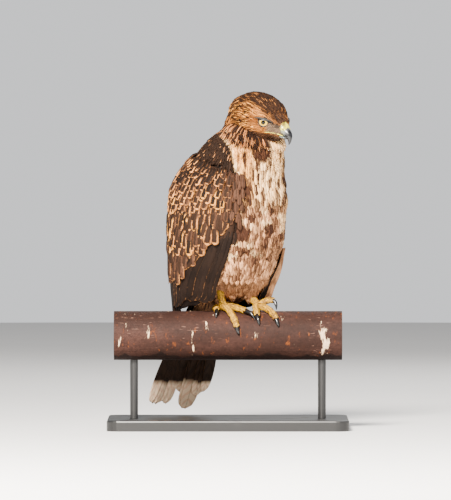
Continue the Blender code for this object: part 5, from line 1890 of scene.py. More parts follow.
        for zone in COAT_ZONES:
            roots = self.body_roots(zone.low, zone.high, zone.steps, zone.turns, zone.seed)
            full = np.ones(len(roots.place))
            roots.length = full * zone.length
            roots.width = full * zone.width
            roots.lift = full * zone.lift
            shown = 0.45 if zone.shape is Tuft.DOWN else 0.68
            roots.markings = torso_markings(roots.place + roots.lie * (zone.length * shown))
            if zone.low < 60.0:
                roots = roots.keep(self.beside_leg(roots))
            if zone.high > NECK_LINE:
                roots = roots.keep(~inside_head(roots.place, -2.0))
            material = self.small if zone.shape is not Tuft.DOWN else self.soft
            self.add(zone.name, roots, self.shapes.collections[zone.shape], material, zone.seed + 10)
        for side, rows, seed in ((Side.RIGHT, RIGHT_THIGH, 17), (Side.LEFT, LEFT_THIGH, 18)):
            self.add("coat_thigh_" + side.name.lower(), self.thigh_roots(rows, seed), down, self.soft, seed + 10)

    def thigh_roots(self, rows: list[tuple], seed: int) -> Roots:
        """Roots of the trousers of one leg."""
        def surface(keys: Array, turns: Array) -> Array:
            line = read_rows([(float(i),) + tuple(row) for i, row in enumerate(rows)], keys)
            radius = self.thigh_radius(line)
            centre = perch_points(line[:, :3])
            angle = np.radians(turns)
            round_ = np.stack((np.cos(angle), np.sin(angle), np.zeros(len(keys))), axis=1)
            return centre + round_ * radius[:, None]

        field_ = RingField(surface, 0.6, len(rows) - 1.6, (0.0, 360.0), 3.0, 2.8, seed)
        keys, turns = field_.sample()
        place = surface(keys, turns)
        line = read_rows([(float(i),) + tuple(row) for i, row in enumerate(rows)], keys)
        out = unit((place - perch_points(line[:, :3])) * np.array((1.0, 1.0, 0.3)) + DOWN * 3.0)
        lie = along_surface(np.tile(DOWN, (len(keys), 1)), out)
        start = 0.0 if seed % 2 else 0.5
        unwrap = np.stack((start + (turns % 360.0) / 760.0, 0.87 + 0.11 * keys / len(rows)), axis=1)
        full = np.ones(len(keys))
        roots = Roots(place, out, lie, unwrap, full * 15.0, full * 7.0, full * 0.28, torso_markings(place))
        return roots.keep(~inside_torso(place, -9.0) & self.beside_leg(roots))

    def add(
        self, name: str, roots: Roots, shapes: bpy.types.Collection, material: bpy.types.Material, seed: int
    ) -> None:
        """Grow one zone and add it as a piece."""
        mesh = self.tree.grow(name, roots, shapes, material, seed)
        add_piece(name, mesh)


@dataclass(frozen=True)
class Tier:
    """One tier of large feathers on the wing: where its tips lie, and how they look."""

    name: str
    tips: tuple
    count: int
    length: float
    width: float
    lean: float
    rise: float
    ground: tuple
    mark: tuple
    edge: tuple
    marking: tuple


WING_TIERS = (
    Tier("quills_inner", ((0.22, 44), (0.35, 41), (0.50, 34), (0.66, 24), (0.74, 18)), 9, 90, 22, 6, -1.6,
         PALETTE.quill, PALETTE.quill, PALETTE.mantle, (0.0, 0.0, 0.05)),
    Tier("primaries", ((0.60, 24), (0.70, 4), (0.82, -16), (0.90, -12)), 8, 136, 17, 7, 0.4,
         PALETTE.quill, PALETTE.mantle, PALETTE.quill_edge, (0.0, 0.3, 0.05)),
    Tier("secondaries", ((0.03, 50), (0.15, 50), (0.30, 52), (0.45, 43), (0.57, 40)), 11, 104, 19, 10, 1.4,
         linear(50, 29, 18), PALETTE.quill, PALETTE.quill_edge, (0.25, 0.55, 0.10)),
    Tier("greater", ((0.05, 166), (0.12, 148), (0.18, 136), (0.25, 117), (0.32, 99), (0.39, 86),
                     (0.54, 77), (0.70, 80), (0.90, 88)), 14, 58, 20, 12, 2.4,
         PALETTE.mantle, PALETTE.quill, PALETTE.covert_edge, (0.3, 0.0, 0.10)),
)
WING_ZONES = (
    CoatZone("wing_lower", 108.0, 186.0, (0.0, 1.02), (10.0, 9.0), Tuft.COVERT, 27.0, 13.0, 0.12, 41),
    CoatZone("wing_middle", 184.0, 240.0, (0.0, 1.03), (8.8, 8.6), Tuft.COVERT, 20.0, 11.4, 0.16, 42),
    CoatZone("wing_shoulder", 238.0, 282.0, (0.0, 1.03), (5.8, 5.6), Tuft.COVERT, 14.0, 7.6, 0.20, 43),
)


# Feathers of the left wing's edge: line (across, back, height over the perch), half width, look
EDGE_VANES = (
    (((79, 20, 150), (73, 20, 118), (65, 20, 94), (58, 19, 76), (50, 18, 52)), 5.4,
     (PALETTE.quill, PALETTE.quill, PALETTE.mantle, (0.0, 0.0, 0.03))),
    (((82, 26, 130), (76.5, 26, 103), (70, 25, 84), (64, 24, 70), (58, 22, 51)), 6.6,
     (PALETTE.band_ground, PALETTE.brown, PALETTE.cream, (0.0, 0.5, 0.05))),
)


@dataclass
class VaneSet:
    """Closed curved vanes gathered into one mesh, with their map, markings and bake patches."""

    points: list = field(default_factory=list)
    faces: list = field(default_factory=list)
    maps: list = field(default_factory=list)
    patches: list = field(default_factory=list)
    colours: list = field(default_factory=list)
    count: int = 0

    def add(self, top: Array, under: Array, cell: tuple, marks: tuple, tone: float, under_marks: tuple | None = None) -> None:
        """Add one vane between its top and under grids.

        Args:
            top: Rows by columns by 3, root to tip.
            under: The same grid on the other face.
            cell: Corner and size of its bake patch.
            marks: Ground, mark, edge and marking.
            tone: Its own shade.
            under_marks: The same for the under face, where it differs.
        """
        rows, columns = top.shape[:2]
        first = self.count
        size = rows * columns
        self.points += [top.reshape(-1, 3), under.reshape(-1, 3)]
        self.faces += grid_faces(rows, columns, first=first)
        self.faces += grid_faces(rows, columns, first=first + size, turned=True)
        rim = [j for j in range(columns)]
        rim += [i * columns + columns - 1 for i in range(1, rows)]
        rim += [(rows - 1) * columns + j for j in range(columns - 2, -1, -1)]
        rim += [i * columns for i in range(rows - 2, 0, -1)]
        for a, b in zip(rim, rim[1:] + rim[:1]):
            self.faces.append((first + b, first + a, first + size + a, first + size + b))
        across, along = np.meshgrid(np.linspace(0.0, 1.0, columns), np.linspace(0.0, 1.0, rows))
        own = np.stack((across.ravel(), along.ravel()), axis=1)
        self.maps += [own, own]
        corner = np.array(cell[:2])
        room = np.array(cell[2:])
        half = own * np.array((0.46, 0.94))
        self.patches += [corner + (half + (0.02, 0.03)) * room, corner + (half + (0.52, 0.03)) * room]
        for face_marks in (marks, under_marks or marks):
            columns_ = [np.broadcast_to(value, (size, 3)) for value in face_marks]
            self.colours.append(np.concatenate(columns_ + [np.full((size, 1), tone)], axis=1))
        self.count += 2 * size

    def mesh(self, name: str) -> bpy.types.Mesh:
        """The gathered vanes as one mesh."""
        mesh = make_mesh(name, np.concatenate(self.points), self.faces)
        face_outwards(mesh)
        table = np.concatenate(self.colours)
        markings = Markings(table[:, 0:3], table[:, 3:6], table[:, 6:9], table[:, 9:12])
        mark_points(mesh, markings, table[:, 12])
        corners = np.empty(len(mesh.loops), dtype=int)
        mesh.loops.foreach_get("vertex_index", corners)
        for label, values in (("Vane", self.maps), ("OFBake", self.patches)):
            layer = mesh.uv_layers.new(name=label)
            layer.data.foreach_set("uv", np.concatenate(values)[corners].ravel())
        mesh.shade_smooth()
        return mesh


@dataclass(frozen=True)
class VaneShape:
    """The outline and bend of a large feather."""

    rows: int = 12
    columns: int = 7
    root_width: float = 0.5
    round_from: float = 0.72
    tip_power: float = 2.2
    thickness: float = 0.55

    def grid(self) -> tuple[Array, Array]:
        """Places across, -1 to 1, scaled by the outline, and along, 0 to 1."""
        along = 1.0 - (1.0 - np.linspace(0.0, 1.0, self.rows)) ** 1.6
        past = np.clip((along - self.round_from) / (1.0 - self.round_from), 0.0, 1.0)
        outline = (self.root_width + (1.0 - self.root_width) * ease(along / 0.45))
        outline = outline * np.maximum(1.0 - past ** self.tip_power, 0.0) ** (1.0 / self.tip_power)
        outline = np.maximum(outline, 0.06)
        across = np.linspace(-1.0, 1.0, self.columns)
        return across[None, :] * outline[:, None], np.repeat(along[:, None], self.columns, axis=1)


@dataclass
class Wing:
    """A folded wing: a dark core and tiers of curved vanes over it."""

    side: Side
    edge: list
    feathers: bpy.types.Material
    small: bpy.types.Material
    tree: CoatTree
    shapes: TuftShapes
    edge_thickness: float = 3.0
    swell_turn: float = 45.0
    back_thinning: float = 0.4
    inner_sink: float = 1.5
    foot_taper: float = 0.35
    foot_thickness: float = 2.4
    last_turn: float = 182.0
    tilt: float = -0.10
    arch: float = 0.9
    rows: tuple = tuple(WING_BED + BREAST_AND_NECK)

    def front_turn(self, height: Array) -> Array:
        """Where the wing's front edge lies at a height."""
        return read_rows(self.edge, height)[..., 0]

    def thickness(self, height: Array, share: Array) -> Array:
        """How far the wing stands out over the body."""
        swell = ease((WING_BACK_TURN - self.front_turn(height)) * share / self.swell_turn)
        thin = 1.0 - self.back_thinning * ease((share - 0.6) / 0.4)
        full = read_rows(WING_THICKNESS, height)[..., 0] * thin
        return self.edge_thickness + np.maximum(full - self.edge_thickness, 0.0) * swell

    def surface(self, height: Array, turn: Array, out: Array) -> Array:
        """Points over the wing, out from its core."""
        front = self.front_turn(height)
        share = (turn - front) / (WING_BACK_TURN - front)
        grow = self.thickness(height, share) + out
        turn = np.minimum(turn, self.last_turn) * self.side.value
        return body_surface(list(self.rows), height, turn, grow)

    def core(self) -> bpy.types.Mesh:
        """The closed plate under the feathers."""
        rows, columns = 34, 30
        share = np.repeat(np.linspace(0.0, 1.0, columns)[None, :], rows, axis=0)
        foot = read_rows(WING_FOOT, share)[..., 0]
        top = read_rows(WING_TOP, share)[..., 0]
        rise = np.repeat(np.linspace(0.0, 1.0, rows)[:, None], columns, axis=1)
        height = foot + (top - foot) * rise
        turn = self.front_turn(height) + (WING_BACK_TURN - self.front_turn(height)) * share
        thick = self.thickness(height, share)
        taper = 1.0 - ease(rise / self.foot_taper)
        inside = (thick - self.foot_thickness) * taper - self.inner_sink * (1.0 - taper)
        outer = self.surface(height, turn, np.full_like(height, -0.8))
        inner = self.surface(height, turn, inside - thick)
        gathered = VaneSet()
        marks = (PALETTE.mantle, PALETTE.mantle, PALETTE.mantle, (0.0, 0.0, 0.0))
        gathered.add(outer, inner, (0.0, 0.0, 1.0, 1.0), marks, 0.4)
        return gathered.mesh("wing_core_" + self.side.name.lower())

    def vane(self, tier: Tier, share: float, tip: float, draw: np.random.Generator) -> tuple[Array, Array]:
        """The top and under grids of one feather.

        Args:
            tier: Its tier.
            share: Where its tip lies round the wing.
            tip: Its tip's height.
            draw: Source of small differences.

        Returns:
            The two grids.
        """
        long = tier.length > 80
        shape = VaneShape(rows=14, round_from=0.86) if long else VaneShape(rows=9, columns=7, round_from=0.5)
        across, along = shape.grid()
        length = tier.length * draw.uniform(0.95, 1.05)
        half = tier.width / 2.0
        lean = math.radians(tier.lean * min(1.0, share / 0.3) + draw.uniform(-3.0, 3.0))
        left_over = (1.0 - along) * length
        side = across * half
        height = tip + left_over * math.cos(lean) + side * math.sin(lean)
        degree = np.radians(read_rows(list(self.rows), height)[..., 0])
        front = self.front_turn(height)
        turn = front + (WING_BACK_TURN - front) * share
        turn = turn + (side * math.cos(lean) - left_over * math.sin(lean)) / degree
        out = -1.2 + (tier.rise + 1.2) * along + self.tilt * side + draw.uniform(-0.15, 0.15)
        out = out - self.arch * (across ** 2) * 0.8 + 0.5 * np.sin(math.pi * along)
        half_thick = shape.thickness / 2.0
        grids = [self.surface(height, turn, out + sign * half_thick) for sign in (1.0, -1.0)]
        if self.side is Side.LEFT:
            grids = [grid[:, ::-1] for grid in grids]
        return grids[0], grids[1]

    def add_edge_vanes(self) -> None:
        """The two feathers of the left wing's edge that show past the belly."""
        gathered = VaneSet()
        for index, (rows, half, marks) in enumerate(EDGE_VANES):
            shape = VaneShape(rows=16, round_from=0.88, root_width=0.7)
            across, along = shape.grid()
            line = smooth_line(list(rows), 16)
            centre = np.stack([np.interp(along, np.linspace(0.0, 1.0, 16), line[:, k]) for k in range(3)], axis=2)
            side = np.array((0.88, 0.46, 0.08)) * half
            middle = PERCH + centre + across[..., None] * side
            middle[..., 1] += 0.8 * across ** 2
            grids = [middle + np.array((0.0, sign * 0.3, 0.0)) for sign in (-1.0, 1.0)]
            gathered.add(grids[0], grids[1], (0.0, 0.5 * index, 1.0, 0.5), marks, 0.5)
        add_piece("wing_edge_left", gathered.mesh("wing_edge_left"), self.feathers)

    def markings(self, place: Array, height: Array, share: Array) -> Markings:
        """The colours of the small feathers of the wing."""
        count = len(height)
        palette = PALETTE
        made = Markings(
            np.tile(palette.covert, (count, 1)),
            np.tile(palette.mantle, (count, 1)),
            np.tile(palette.covert_edge, (count, 1)),
            np.tile((0.62, 0.0, 0.52), (count, 1)),
        )
        draw = np.random.default_rng(5)
        bold = ease((draw.random(count) - 0.72) / 0.1)
        paint(made, bold, palette.mantle, palette.quill, palette.buff, (0.4, 0.0, 0.60))
        plain = ease((draw.random(count) - 0.74) / 0.1)
        paint(made, plain, palette.covert, palette.mantle, palette.mantle_edge, (0.3, 0.0, 0.42))
        shoulder = ease((height - 222.0) / 24.0)
        paint(made, shoulder, palette.mantle, palette.quill, palette.mantle_edge, (0.4, 0.0, 0.36))
        spots = shoulder * ease((draw.random(count) - 0.62) / 0.1)
        paint(made, spots, palette.mantle, palette.quill, palette.covert_edge, (0.3, 0.0, 0.55))
        low = 1.0 - ease((height - 124.0) / 24.0)
        paint(made, low * 0.8, palette.covert, palette.mantle, palette.mantle_edge, (0.4, 0.0, 0.34))
        front = (1.0 - ease((share - 0.10) / 0.10)) * ease((draw.random(count) - 0.35) / 0.2)
        paint(made, front, palette.covert, palette.mantle, palette.mantle_edge, (0.3, 0.0, 0.26))
        band = 1.0 - ease((share - 0.06) / 0.03)
        paint(made, band, palette.front_band, palette.mantle, palette.front_band, (0.12, 0.0, 0.0))
        return made

    def covert_roots(self, zone: CoatZone) -> Roots:
        """Roots of the wing's small feathers in one zone."""
        def surface(height: Array, share: Array) -> Array:
            front = self.front_turn(height)
            return self.surface(height, front + (WING_BACK_TURN - front) * share, np.full(len(height), -0.6))

        rows = RingField(surface, zone.high, zone.low, zone.turns, *zone.steps, zone.seed, 0.01)
        height, share = rows.sample()
        draw = np.random.default_rng(zone.seed)
        height = height + draw.uniform(-0.42, 0.42, len(height)) * zone.steps[0]
        lowest = read_rows(list(WING_TIERS[3].tips), share)[..., 0] - 6.0
        top = read_rows(WING_TOP, share)[..., 0] + 6.0
        chosen = (height - 0.9 * zone.length > lowest) & (height < top)
        height = height[chosen]
        share = share[chosen]
        place = surface(height, share)
        centre = BIRD.place(np.full(len(height), -4.0), np.zeros(len(height)), height)
        out = rows.normals(height, share, centre)
        back = along_surface(surface(height, share + 0.01) - place, out)
        lean = np.radians(12.0 * np.minimum(1.0, share / 0.3) + draw.uniform(-7.0, 7.0, len(height)))[:, None]
        lie = unit(along_surface(np.tile(DOWN, (len(height), 1)), out) * np.cos(lean) + back * np.sin(lean))
        start = 0.0 if self.side is Side.RIGHT else 0.5
        unwrap = np.stack((start + 0.02 + 0.45 * share, 0.02 + 0.94 * (height - 60.0) / 230.0), axis=1)
        size = draw.uniform(0.82, 1.15, len(height))
        edge = 1.0 - 0.35 * (1.0 - ease(share / 0.08))
        marks = self.markings(place, height, share)
        lift = np.full(len(height), zone.lift)
        return Roots(place, out, lie, unwrap, zone.length * size, zone.width * size * edge, lift, marks)

    def build(self) -> None:
        """Add the core and the feathers."""
        name = self.side.name.lower()
        add_piece("wing_core_" + name, self.core(), self.feathers, ("wing_" + name,))
        draw = np.random.default_rng(7)
        total = sum(tier.count for tier in WING_TIERS)
        per_row = 12
        row_count = math.ceil(total / per_row)
        gathered = VaneSet()
        index = 0
        for tier in WING_TIERS:
            first, last = tier.tips[0][0], tier.tips[-1][0]
            for i in range(tier.count):
                share = first + (last - first) * i / (tier.count - 1)
                tip = float(read_rows(list(tier.tips), np.array(share))[..., 0]) + draw.uniform(-2.0, 2.0)
                top, under = self.vane(tier, share, tip, draw)
                room = (index % per_row / per_row, index // per_row / row_count, 1.0 / per_row, 1.0 / row_count)
                marks = (tier.ground, tier.mark, tier.edge, tier.marking)
                gathered.add(top, under, room, marks, draw.uniform(0.0, 1.0))
                index += 1
        if self.side is Side.LEFT:
            self.add_edge_vanes()
        add_piece("wing_feathers_" + name, gathered.mesh("wing_feathers_" + name), self.feathers)
        for zone in WING_ZONES:
            label = "coat_" + zone.name + "_" + name
            shape = self.shapes.collections[zone.shape]
            coverts = self.tree.grow(label, self.covert_roots(zone), shape, self.small, zone.seed)
            add_piece(label, coverts)


@dataclass
class Tail:
    """Twelve tail feathers, the middle pair on top, and their coverts."""

    feathers: bpy.types.Material
    step: float = 1.25
    lowest: float = -188.5

    def place(self, left: Array, share: Array, out: Array) -> Array:
        """Points of the tail's plane: to the left, along it, and out to its back."""
        length = TAIL_LENGTH * share
        forward = TAIL_ROOT_FORWARD - math.sin(TAIL_TILT) * length - math.cos(TAIL_TILT) * out
        height = TAIL_ROOT_HEIGHT - math.cos(TAIL_TILT) * length + math.sin(TAIL_TILT) * out
        return BIRD.place(forward, left, height)

    def vane(self, index: int, draw: np.random.Generator) -> tuple[Array, Array]:
        """The top and under grids of one tail feather."""
        middle = (len(TAIL_FEATHER_LENGTHS) - 1) / 2.0
        layer = -(abs(index - middle) - 0.5) * self.step + (self.step / 2.0 if index > middle else 0.0)
        shape = VaneShape(rows=18, columns=7, root_width=0.45, round_from=0.84, tip_power=2.4, thickness=0.6)
        across, along = shape.grid()
        share = along * TAIL_FEATHER_LENGTHS[index]
        base = read_rows(TAIL_WIDTHS, share)[..., 0]
        ragged = draw.uniform(-0.006, 0.006, across.shape) * ease((along - 0.9) / 0.1)
        left = TAIL_SPREADS[index] * base + across * TAIL_HALF_WIDTHS[index]
        out = layer * np.minimum(1.0, 0.35 + share) - 0.8 * across ** 2
        grids = [self.place(left, share + ragged, out + sign * shape.thickness / 2.0) for sign in (1.0, -1.0)]
        return grids[0], grids[1]

    def covert(self, left: float, share: float, length: float, width: float, out: float) -> tuple[Array, Array]:
        """The grids of a small feather over or under the tail's root."""
        shape = VaneShape(rows=8, columns=5, round_from=0.5)
        across, along = shape.grid()
        place = share + (along - 1.0) * length / TAIL_LENGTH
        spread = left * (0.55 + 0.45 * along) + across * width / 2.0
        level = out * (0.4 + 0.6 * along) - np.sign(out) * 0.5 * across ** 2
        grids = [self.place(spread, place, level + sign * 0.25) for sign in (1.0, -1.0)]
        return grids[0], grids[1]

    def build(self) -> None:
        """Add the tail's feathers."""
        draw = np.random.default_rng(19)
        gathered = VaneSet()
        upper = (PALETTE.tail_upper, PALETTE.quill, PALETTE.cream, (0.0, 0.55, 0.05))
        count = len(TAIL_FEATHER_LENGTHS)
        for index in range(count):
            top, under = self.vane(index, draw)
            # The under faces are dark above a sharp line at about four fifths of the tail's drop and pale below it;
            # the dark is the feathers' own deeper brown with a painted shadow of the pipe over it
            reach = np.repeat((BIRD.read(top[:, :1, :])[2] - TAIL_ROOT_HEIGHT) / self.lowest, top.shape[1], axis=1)
            pale = ease((reach.ravel() - 0.81 - draw.uniform(-0.02, 0.02)) / 0.02)[:, None]
            shade = draw.uniform(0.86, 1.0)
            lower = (
                blend(np.array(PALETTE.tail_shade), np.array(PALETTE.tail_under) * shade, pale),
                blend(np.array(PALETTE.quill), np.array(PALETTE.tail_bar), pale),
                PALETTE.cream,
                (0.0, 0.5, 0.0),
            )
            room = (index % 6 / 6.0, 0.5 * (index // 6), 1.0 / 6.0, 0.5)
            gathered.add(top, under, room, upper, draw.uniform(0.2, 0.8), lower)
        add_piece("tail_feathers", gathered.mesh("tail_feathers"), self.feathers, ("tail",))
        coverts = VaneSet()
        tiers = (
            (0.34, 60.0, 22.0, 6.0, 7, 20.0), (0.22, 50.0, 20.0, 8.0, 6, 15.0),
            (0.46, 66.0, 20.0, -8.5, 7, 25.0), (0.34, 56.0, 18.0, -11.0, 6, 20.0),
            (0.22, 46.0, 17.0, -13.0, 5, 15.0),
        )
        index = 0
        total = sum(tier[4] for tier in tiers)
        for share, length, width, out, number, spread in tiers:
            for k in range(number):
                left = spread * (2.0 * k / (number - 1) - 1.0)
                top, under = self.covert(left, share + draw.uniform(-0.01, 0.01), length, width, out)
                if out > 0:
                    marks = (PALETTE.mantle, PALETTE.quill, PALETTE.mantle_edge, (0.4, 0.0, 0.16))
                else:
                    marks = (PALETTE.band_ground, PALETTE.band_mark, PALETTE.cream, (0.1, 0.3, 0.1))
                coverts.add(top, under, (index % 8 / 8.0, index // 8 / 4.0, 1 / 8.0, 1 / 4.0), marks, draw.random())
                index += 1
        log.info("tail coverts: %d", total)
        add_piece("tail_coverts", coverts.mesh("tail_coverts"), self.feathers)


@dataclass
class Face:
    """Eyes, lids, brows, cere, bill and gape."""

    eye: bpy.types.Material
    lid: bpy.types.Material
    brow: bpy.types.Material
    cere: bpy.types.Material
    bill: bpy.types.Material
    lower_bill: bpy.types.Material
    opening: tuple[float, float, float] = (0.69, 0.31, 0.56)
    lid_lift: float = 0.5

    def build(self) -> None:
        """Add the face's pieces."""
        for side in Side:
            self.add_eye(side)
            self.add_lids(side)
            self.add_brow(side)
            self.add_gape(side)
        self.add_cere()
        self.add_upper_bill()
        self.add_lower_bill()

    def eye_directions(self, side: Side) -> tuple[Array, Array, Array]:
        """An eye's axis and the directions across and up its opening."""
        axis = eye_axis(side)
        across = unit(np.cross(HEAD.up, axis))
        return axis, across, np.cross(axis, across)

    def add_eye(self, side: Side) -> None:
        """An eyeball with its cornea bulging a little."""
        axis, across, up = self.eye_directions(side)
        centre = eye_centre(side)
        away = np.linspace(0.02, math.pi - 0.02, 40)
        turns = np.linspace(0.0, 2.0 * math.pi, 48, endpoint=False)
        radius = EYE_RADIUS + 0.35 * np.exp(-((away / 0.55) ** 2))
        rings = []
        for angle, reach in zip(away, radius):
            way = (
                np.cos(angle) * axis
                + np.sin(angle) * (np.cos(turns)[:, None] * across + np.sin(turns)[:, None] * up)
            )
            rings.append(centre + way * reach)
        poles = (centre + axis * radius[0], centre - axis * radius[-1])
        mesh = ring_loft("eye", np.array(rings), poles)
        points = (np.array([vertex.co for vertex in mesh.vertices]) / MM) - centre
        set_attribute(mesh, "away", "FLOAT", np.arccos(np.clip(unit(points) @ axis, -1.0, 1.0)))
        set_attribute(mesh, "turn", "FLOAT", np.arctan2(points @ up, points @ across))
        name = side.name.lower()
        add_piece("eyeball_" + name, mesh, self.eye, ("eye_" + name,))

    def add_lids(self, side: Side) -> None:
        """Dark bare lids round the eye, rolled in at the opening."""
        axis, across, up = self.eye_directions(side)
        centre = eye_centre(side)
        turns = np.linspace(0.0, 2.0 * math.pi, 56, endpoint=False)
        wide, above, below = self.opening
        high = np.where(np.sin(turns) > 0.0, above, below)
        corner = 1.0 + 0.10 * np.cos(turns) ** 8
        inner = wide * high / np.sqrt((high * np.cos(turns)) ** 2 + (wide * np.sin(turns)) ** 2) * corner
        rings = []
        for step, lift in ((0.0, -0.3), (0.015, 0.3), (0.06, self.lid_lift), (0.14, 0.75), (0.24, 0.6),
                           (0.34, -0.4), (0.36, -1.5), (0.10, -1.5)):
            angle = inner + step
            way = (
                np.cos(angle)[:, None] * axis
                + np.sin(angle)[:, None] * (np.cos(turns)[:, None] * across + np.sin(turns)[:, None] * up)
            )
            rings.append(centre + way * (EYE_RADIUS + lift))
        rings = np.array(rings)
        faces = grid_faces(len(rings), 56, closed=True)
        last = (len(rings) - 1) * 56
        faces += [(last + j, last + (j + 1) % 56, (j + 1) % 56, j) for j in range(56)]
        mesh = make_mesh("lids", rings.reshape(-1, 3), faces)
        face_outwards(mesh)
        add_piece("eyelids_" + side.name.lower(), mesh, self.lid)

    def add_brow(self, side: Side) -> None:
        """The bare edge of the brow that shades the eye."""
        rows = smooth_line([(15, 5.2, 0.4), (21, 6.6, 1.2), (28, 7.2, 1.6), (34, 6.0, 1.3), (39, 4.2, 0.5)], 20)
        reach = head_side(rows[:, 0], rows[:, 1]) + 0.1
        line = HEAD.place(rows[:, 0], -side.value * reach, rows[:, 1])
        mesh = ring_loft("brow", tube_rings(line, rows[:, 2], 12))
        add_piece("brow_" + side.name.lower(), mesh, self.brow)

    def add_gape(self, side: Side) -> None:
        """The pale fleshy line of the mouth."""
        rows = smooth_line([(32.0, -12.6, 0.2), (36, -11.5, 0.4), (41, -10.9, 0.5), (46, -11.5, 0.6), (52, -12.5, 0.5)], 22)
        reach = head_side(np.minimum(rows[:, 0], 45.0), rows[:, 1]) - 0.4
        reach = np.minimum(reach, np.interp(rows[:, 0], (44.0, 52.0), (11.0, 6.6)) + 40.0 * (rows[:, 0] < 43.0))
        line = HEAD.place(rows[:, 0], -side.value * reach, rows[:, 1])
        mesh = ring_loft("gape", tube_rings(line, rows[:, 2], 10))
        add_piece("gape_" + side.name.lower(), mesh, self.cere)

    def section_rings(self, rows: list[tuple], count: int, sides: int) -> Array:
        """Rings across the bill or cere from a table of sections."""
        forward = np.linspace(rows[0][0], rows[-1][0], count)
        middle, wide, high = np.moveaxis(read_rows(rows, forward), -1, 0)
        turns = np.linspace(0.0, 2.0 * math.pi, sides, endpoint=False)
        left = wide[:, None] * np.cos(turns)
        up = middle[:, None] + high[:, None] * np.sin(turns)
        return HEAD.place(np.repeat(forward[:, None], sides, axis=1), left, up)

    def add_cere(self) -> None:
        """The cere, with a dent at each nostril that is painted near black as shade."""
        mesh = ring_loft("cere", self.section_rings(CERE_SECTIONS, 24, 64))
        points = np.array([vertex.co for vertex in mesh.vertices]) / MM
        forward, left, up = HEAD.read(points)
        away = np.sqrt(((forward - 51.0) / 1.7) ** 2 + ((up + 2.8) / 1.2) ** 2)
        dent = (1.0 - ease((away - 0.55) / 0.6)) * (np.abs(left) > 2.0)
        inward = points - HEAD.place(forward, np.zeros_like(left), np.full_like(up, -5.6))
        points = points - unit(inward) * (dent * 1.3)[:, None]
        swell = np.exp(-(((away - 1.5) / 0.5) ** 2)) * (np.abs(left) > 2.0)
        points = points + unit(inward) * (swell * 0.3)[:, None]
        mesh.vertices.foreach_set("co", (points * MM).ravel())
        # The dent share is painted near black by the skin's finish: painted shade for the nostrils' depth
        set_attribute(mesh, "dent", "FLOAT", ease(dent * 1.6 - 0.3))
        set_attribute(mesh, "shade", "FLOAT", ease((-up - 2.6) / 3.0) * 0.9)
        add_piece("cere_skin", mesh, self.cere, ("cere",))

    def add_upper_bill(self) -> None:
        """The hooked upper bill, darkening to its point."""
        keys = np.linspace(0.0, 1.0, 30)
        forward, up, slope, wide, high = np.moveaxis(read_rows(UPPER_BILL_SECTIONS, keys), -1, 0)
        angle = np.radians(slope)
        centre = HEAD.place(forward, np.zeros_like(forward), up)
        rise = np.sin(angle)[:, None] * HEAD.forward + np.cos(angle)[:, None] * HEAD.up
        turns = np.linspace(0.0, 2.0 * math.pi, 40, endpoint=False)
        keel = 1.0 + 0.10 * np.maximum(np.sin(turns), 0.0) ** 3
        rings = []
        for k in range(len(keys)):
            across = np.cos(turns)[:, None] * HEAD.left * wide[k]
            rings.append(centre[k] + across + (np.sin(turns) * keel)[:, None] * rise[k] * high[k])
        mesh = ring_loft("upper_bill", np.array(rings))
        ridge = 0.14 * np.maximum(np.sin(turns), 0.0) ** 2
        along = (keys[:, None] + ridge[None, :]).ravel()
        set_attribute(mesh, "along", "FLOAT", np.concatenate((along, (0.0, 1.0))))
        add_piece("bill_upper", mesh, self.bill, ("upper_bill",))

    def add_lower_bill(self) -> None:
        """The lower bill, shut under the upper one."""
        rings = self.section_rings(LOWER_BILL_SECTIONS, 16, 32)
        mesh = ring_loft("lower_bill", rings)
        along = np.concatenate((np.repeat(np.linspace(0.0, 1.0, 16), 32), (0.0, 1.0)))
        set_attribute(mesh, "along", "FLOAT", along)
        add_piece("bill_lower", mesh, self.lower_bill, ("lower_bill",))


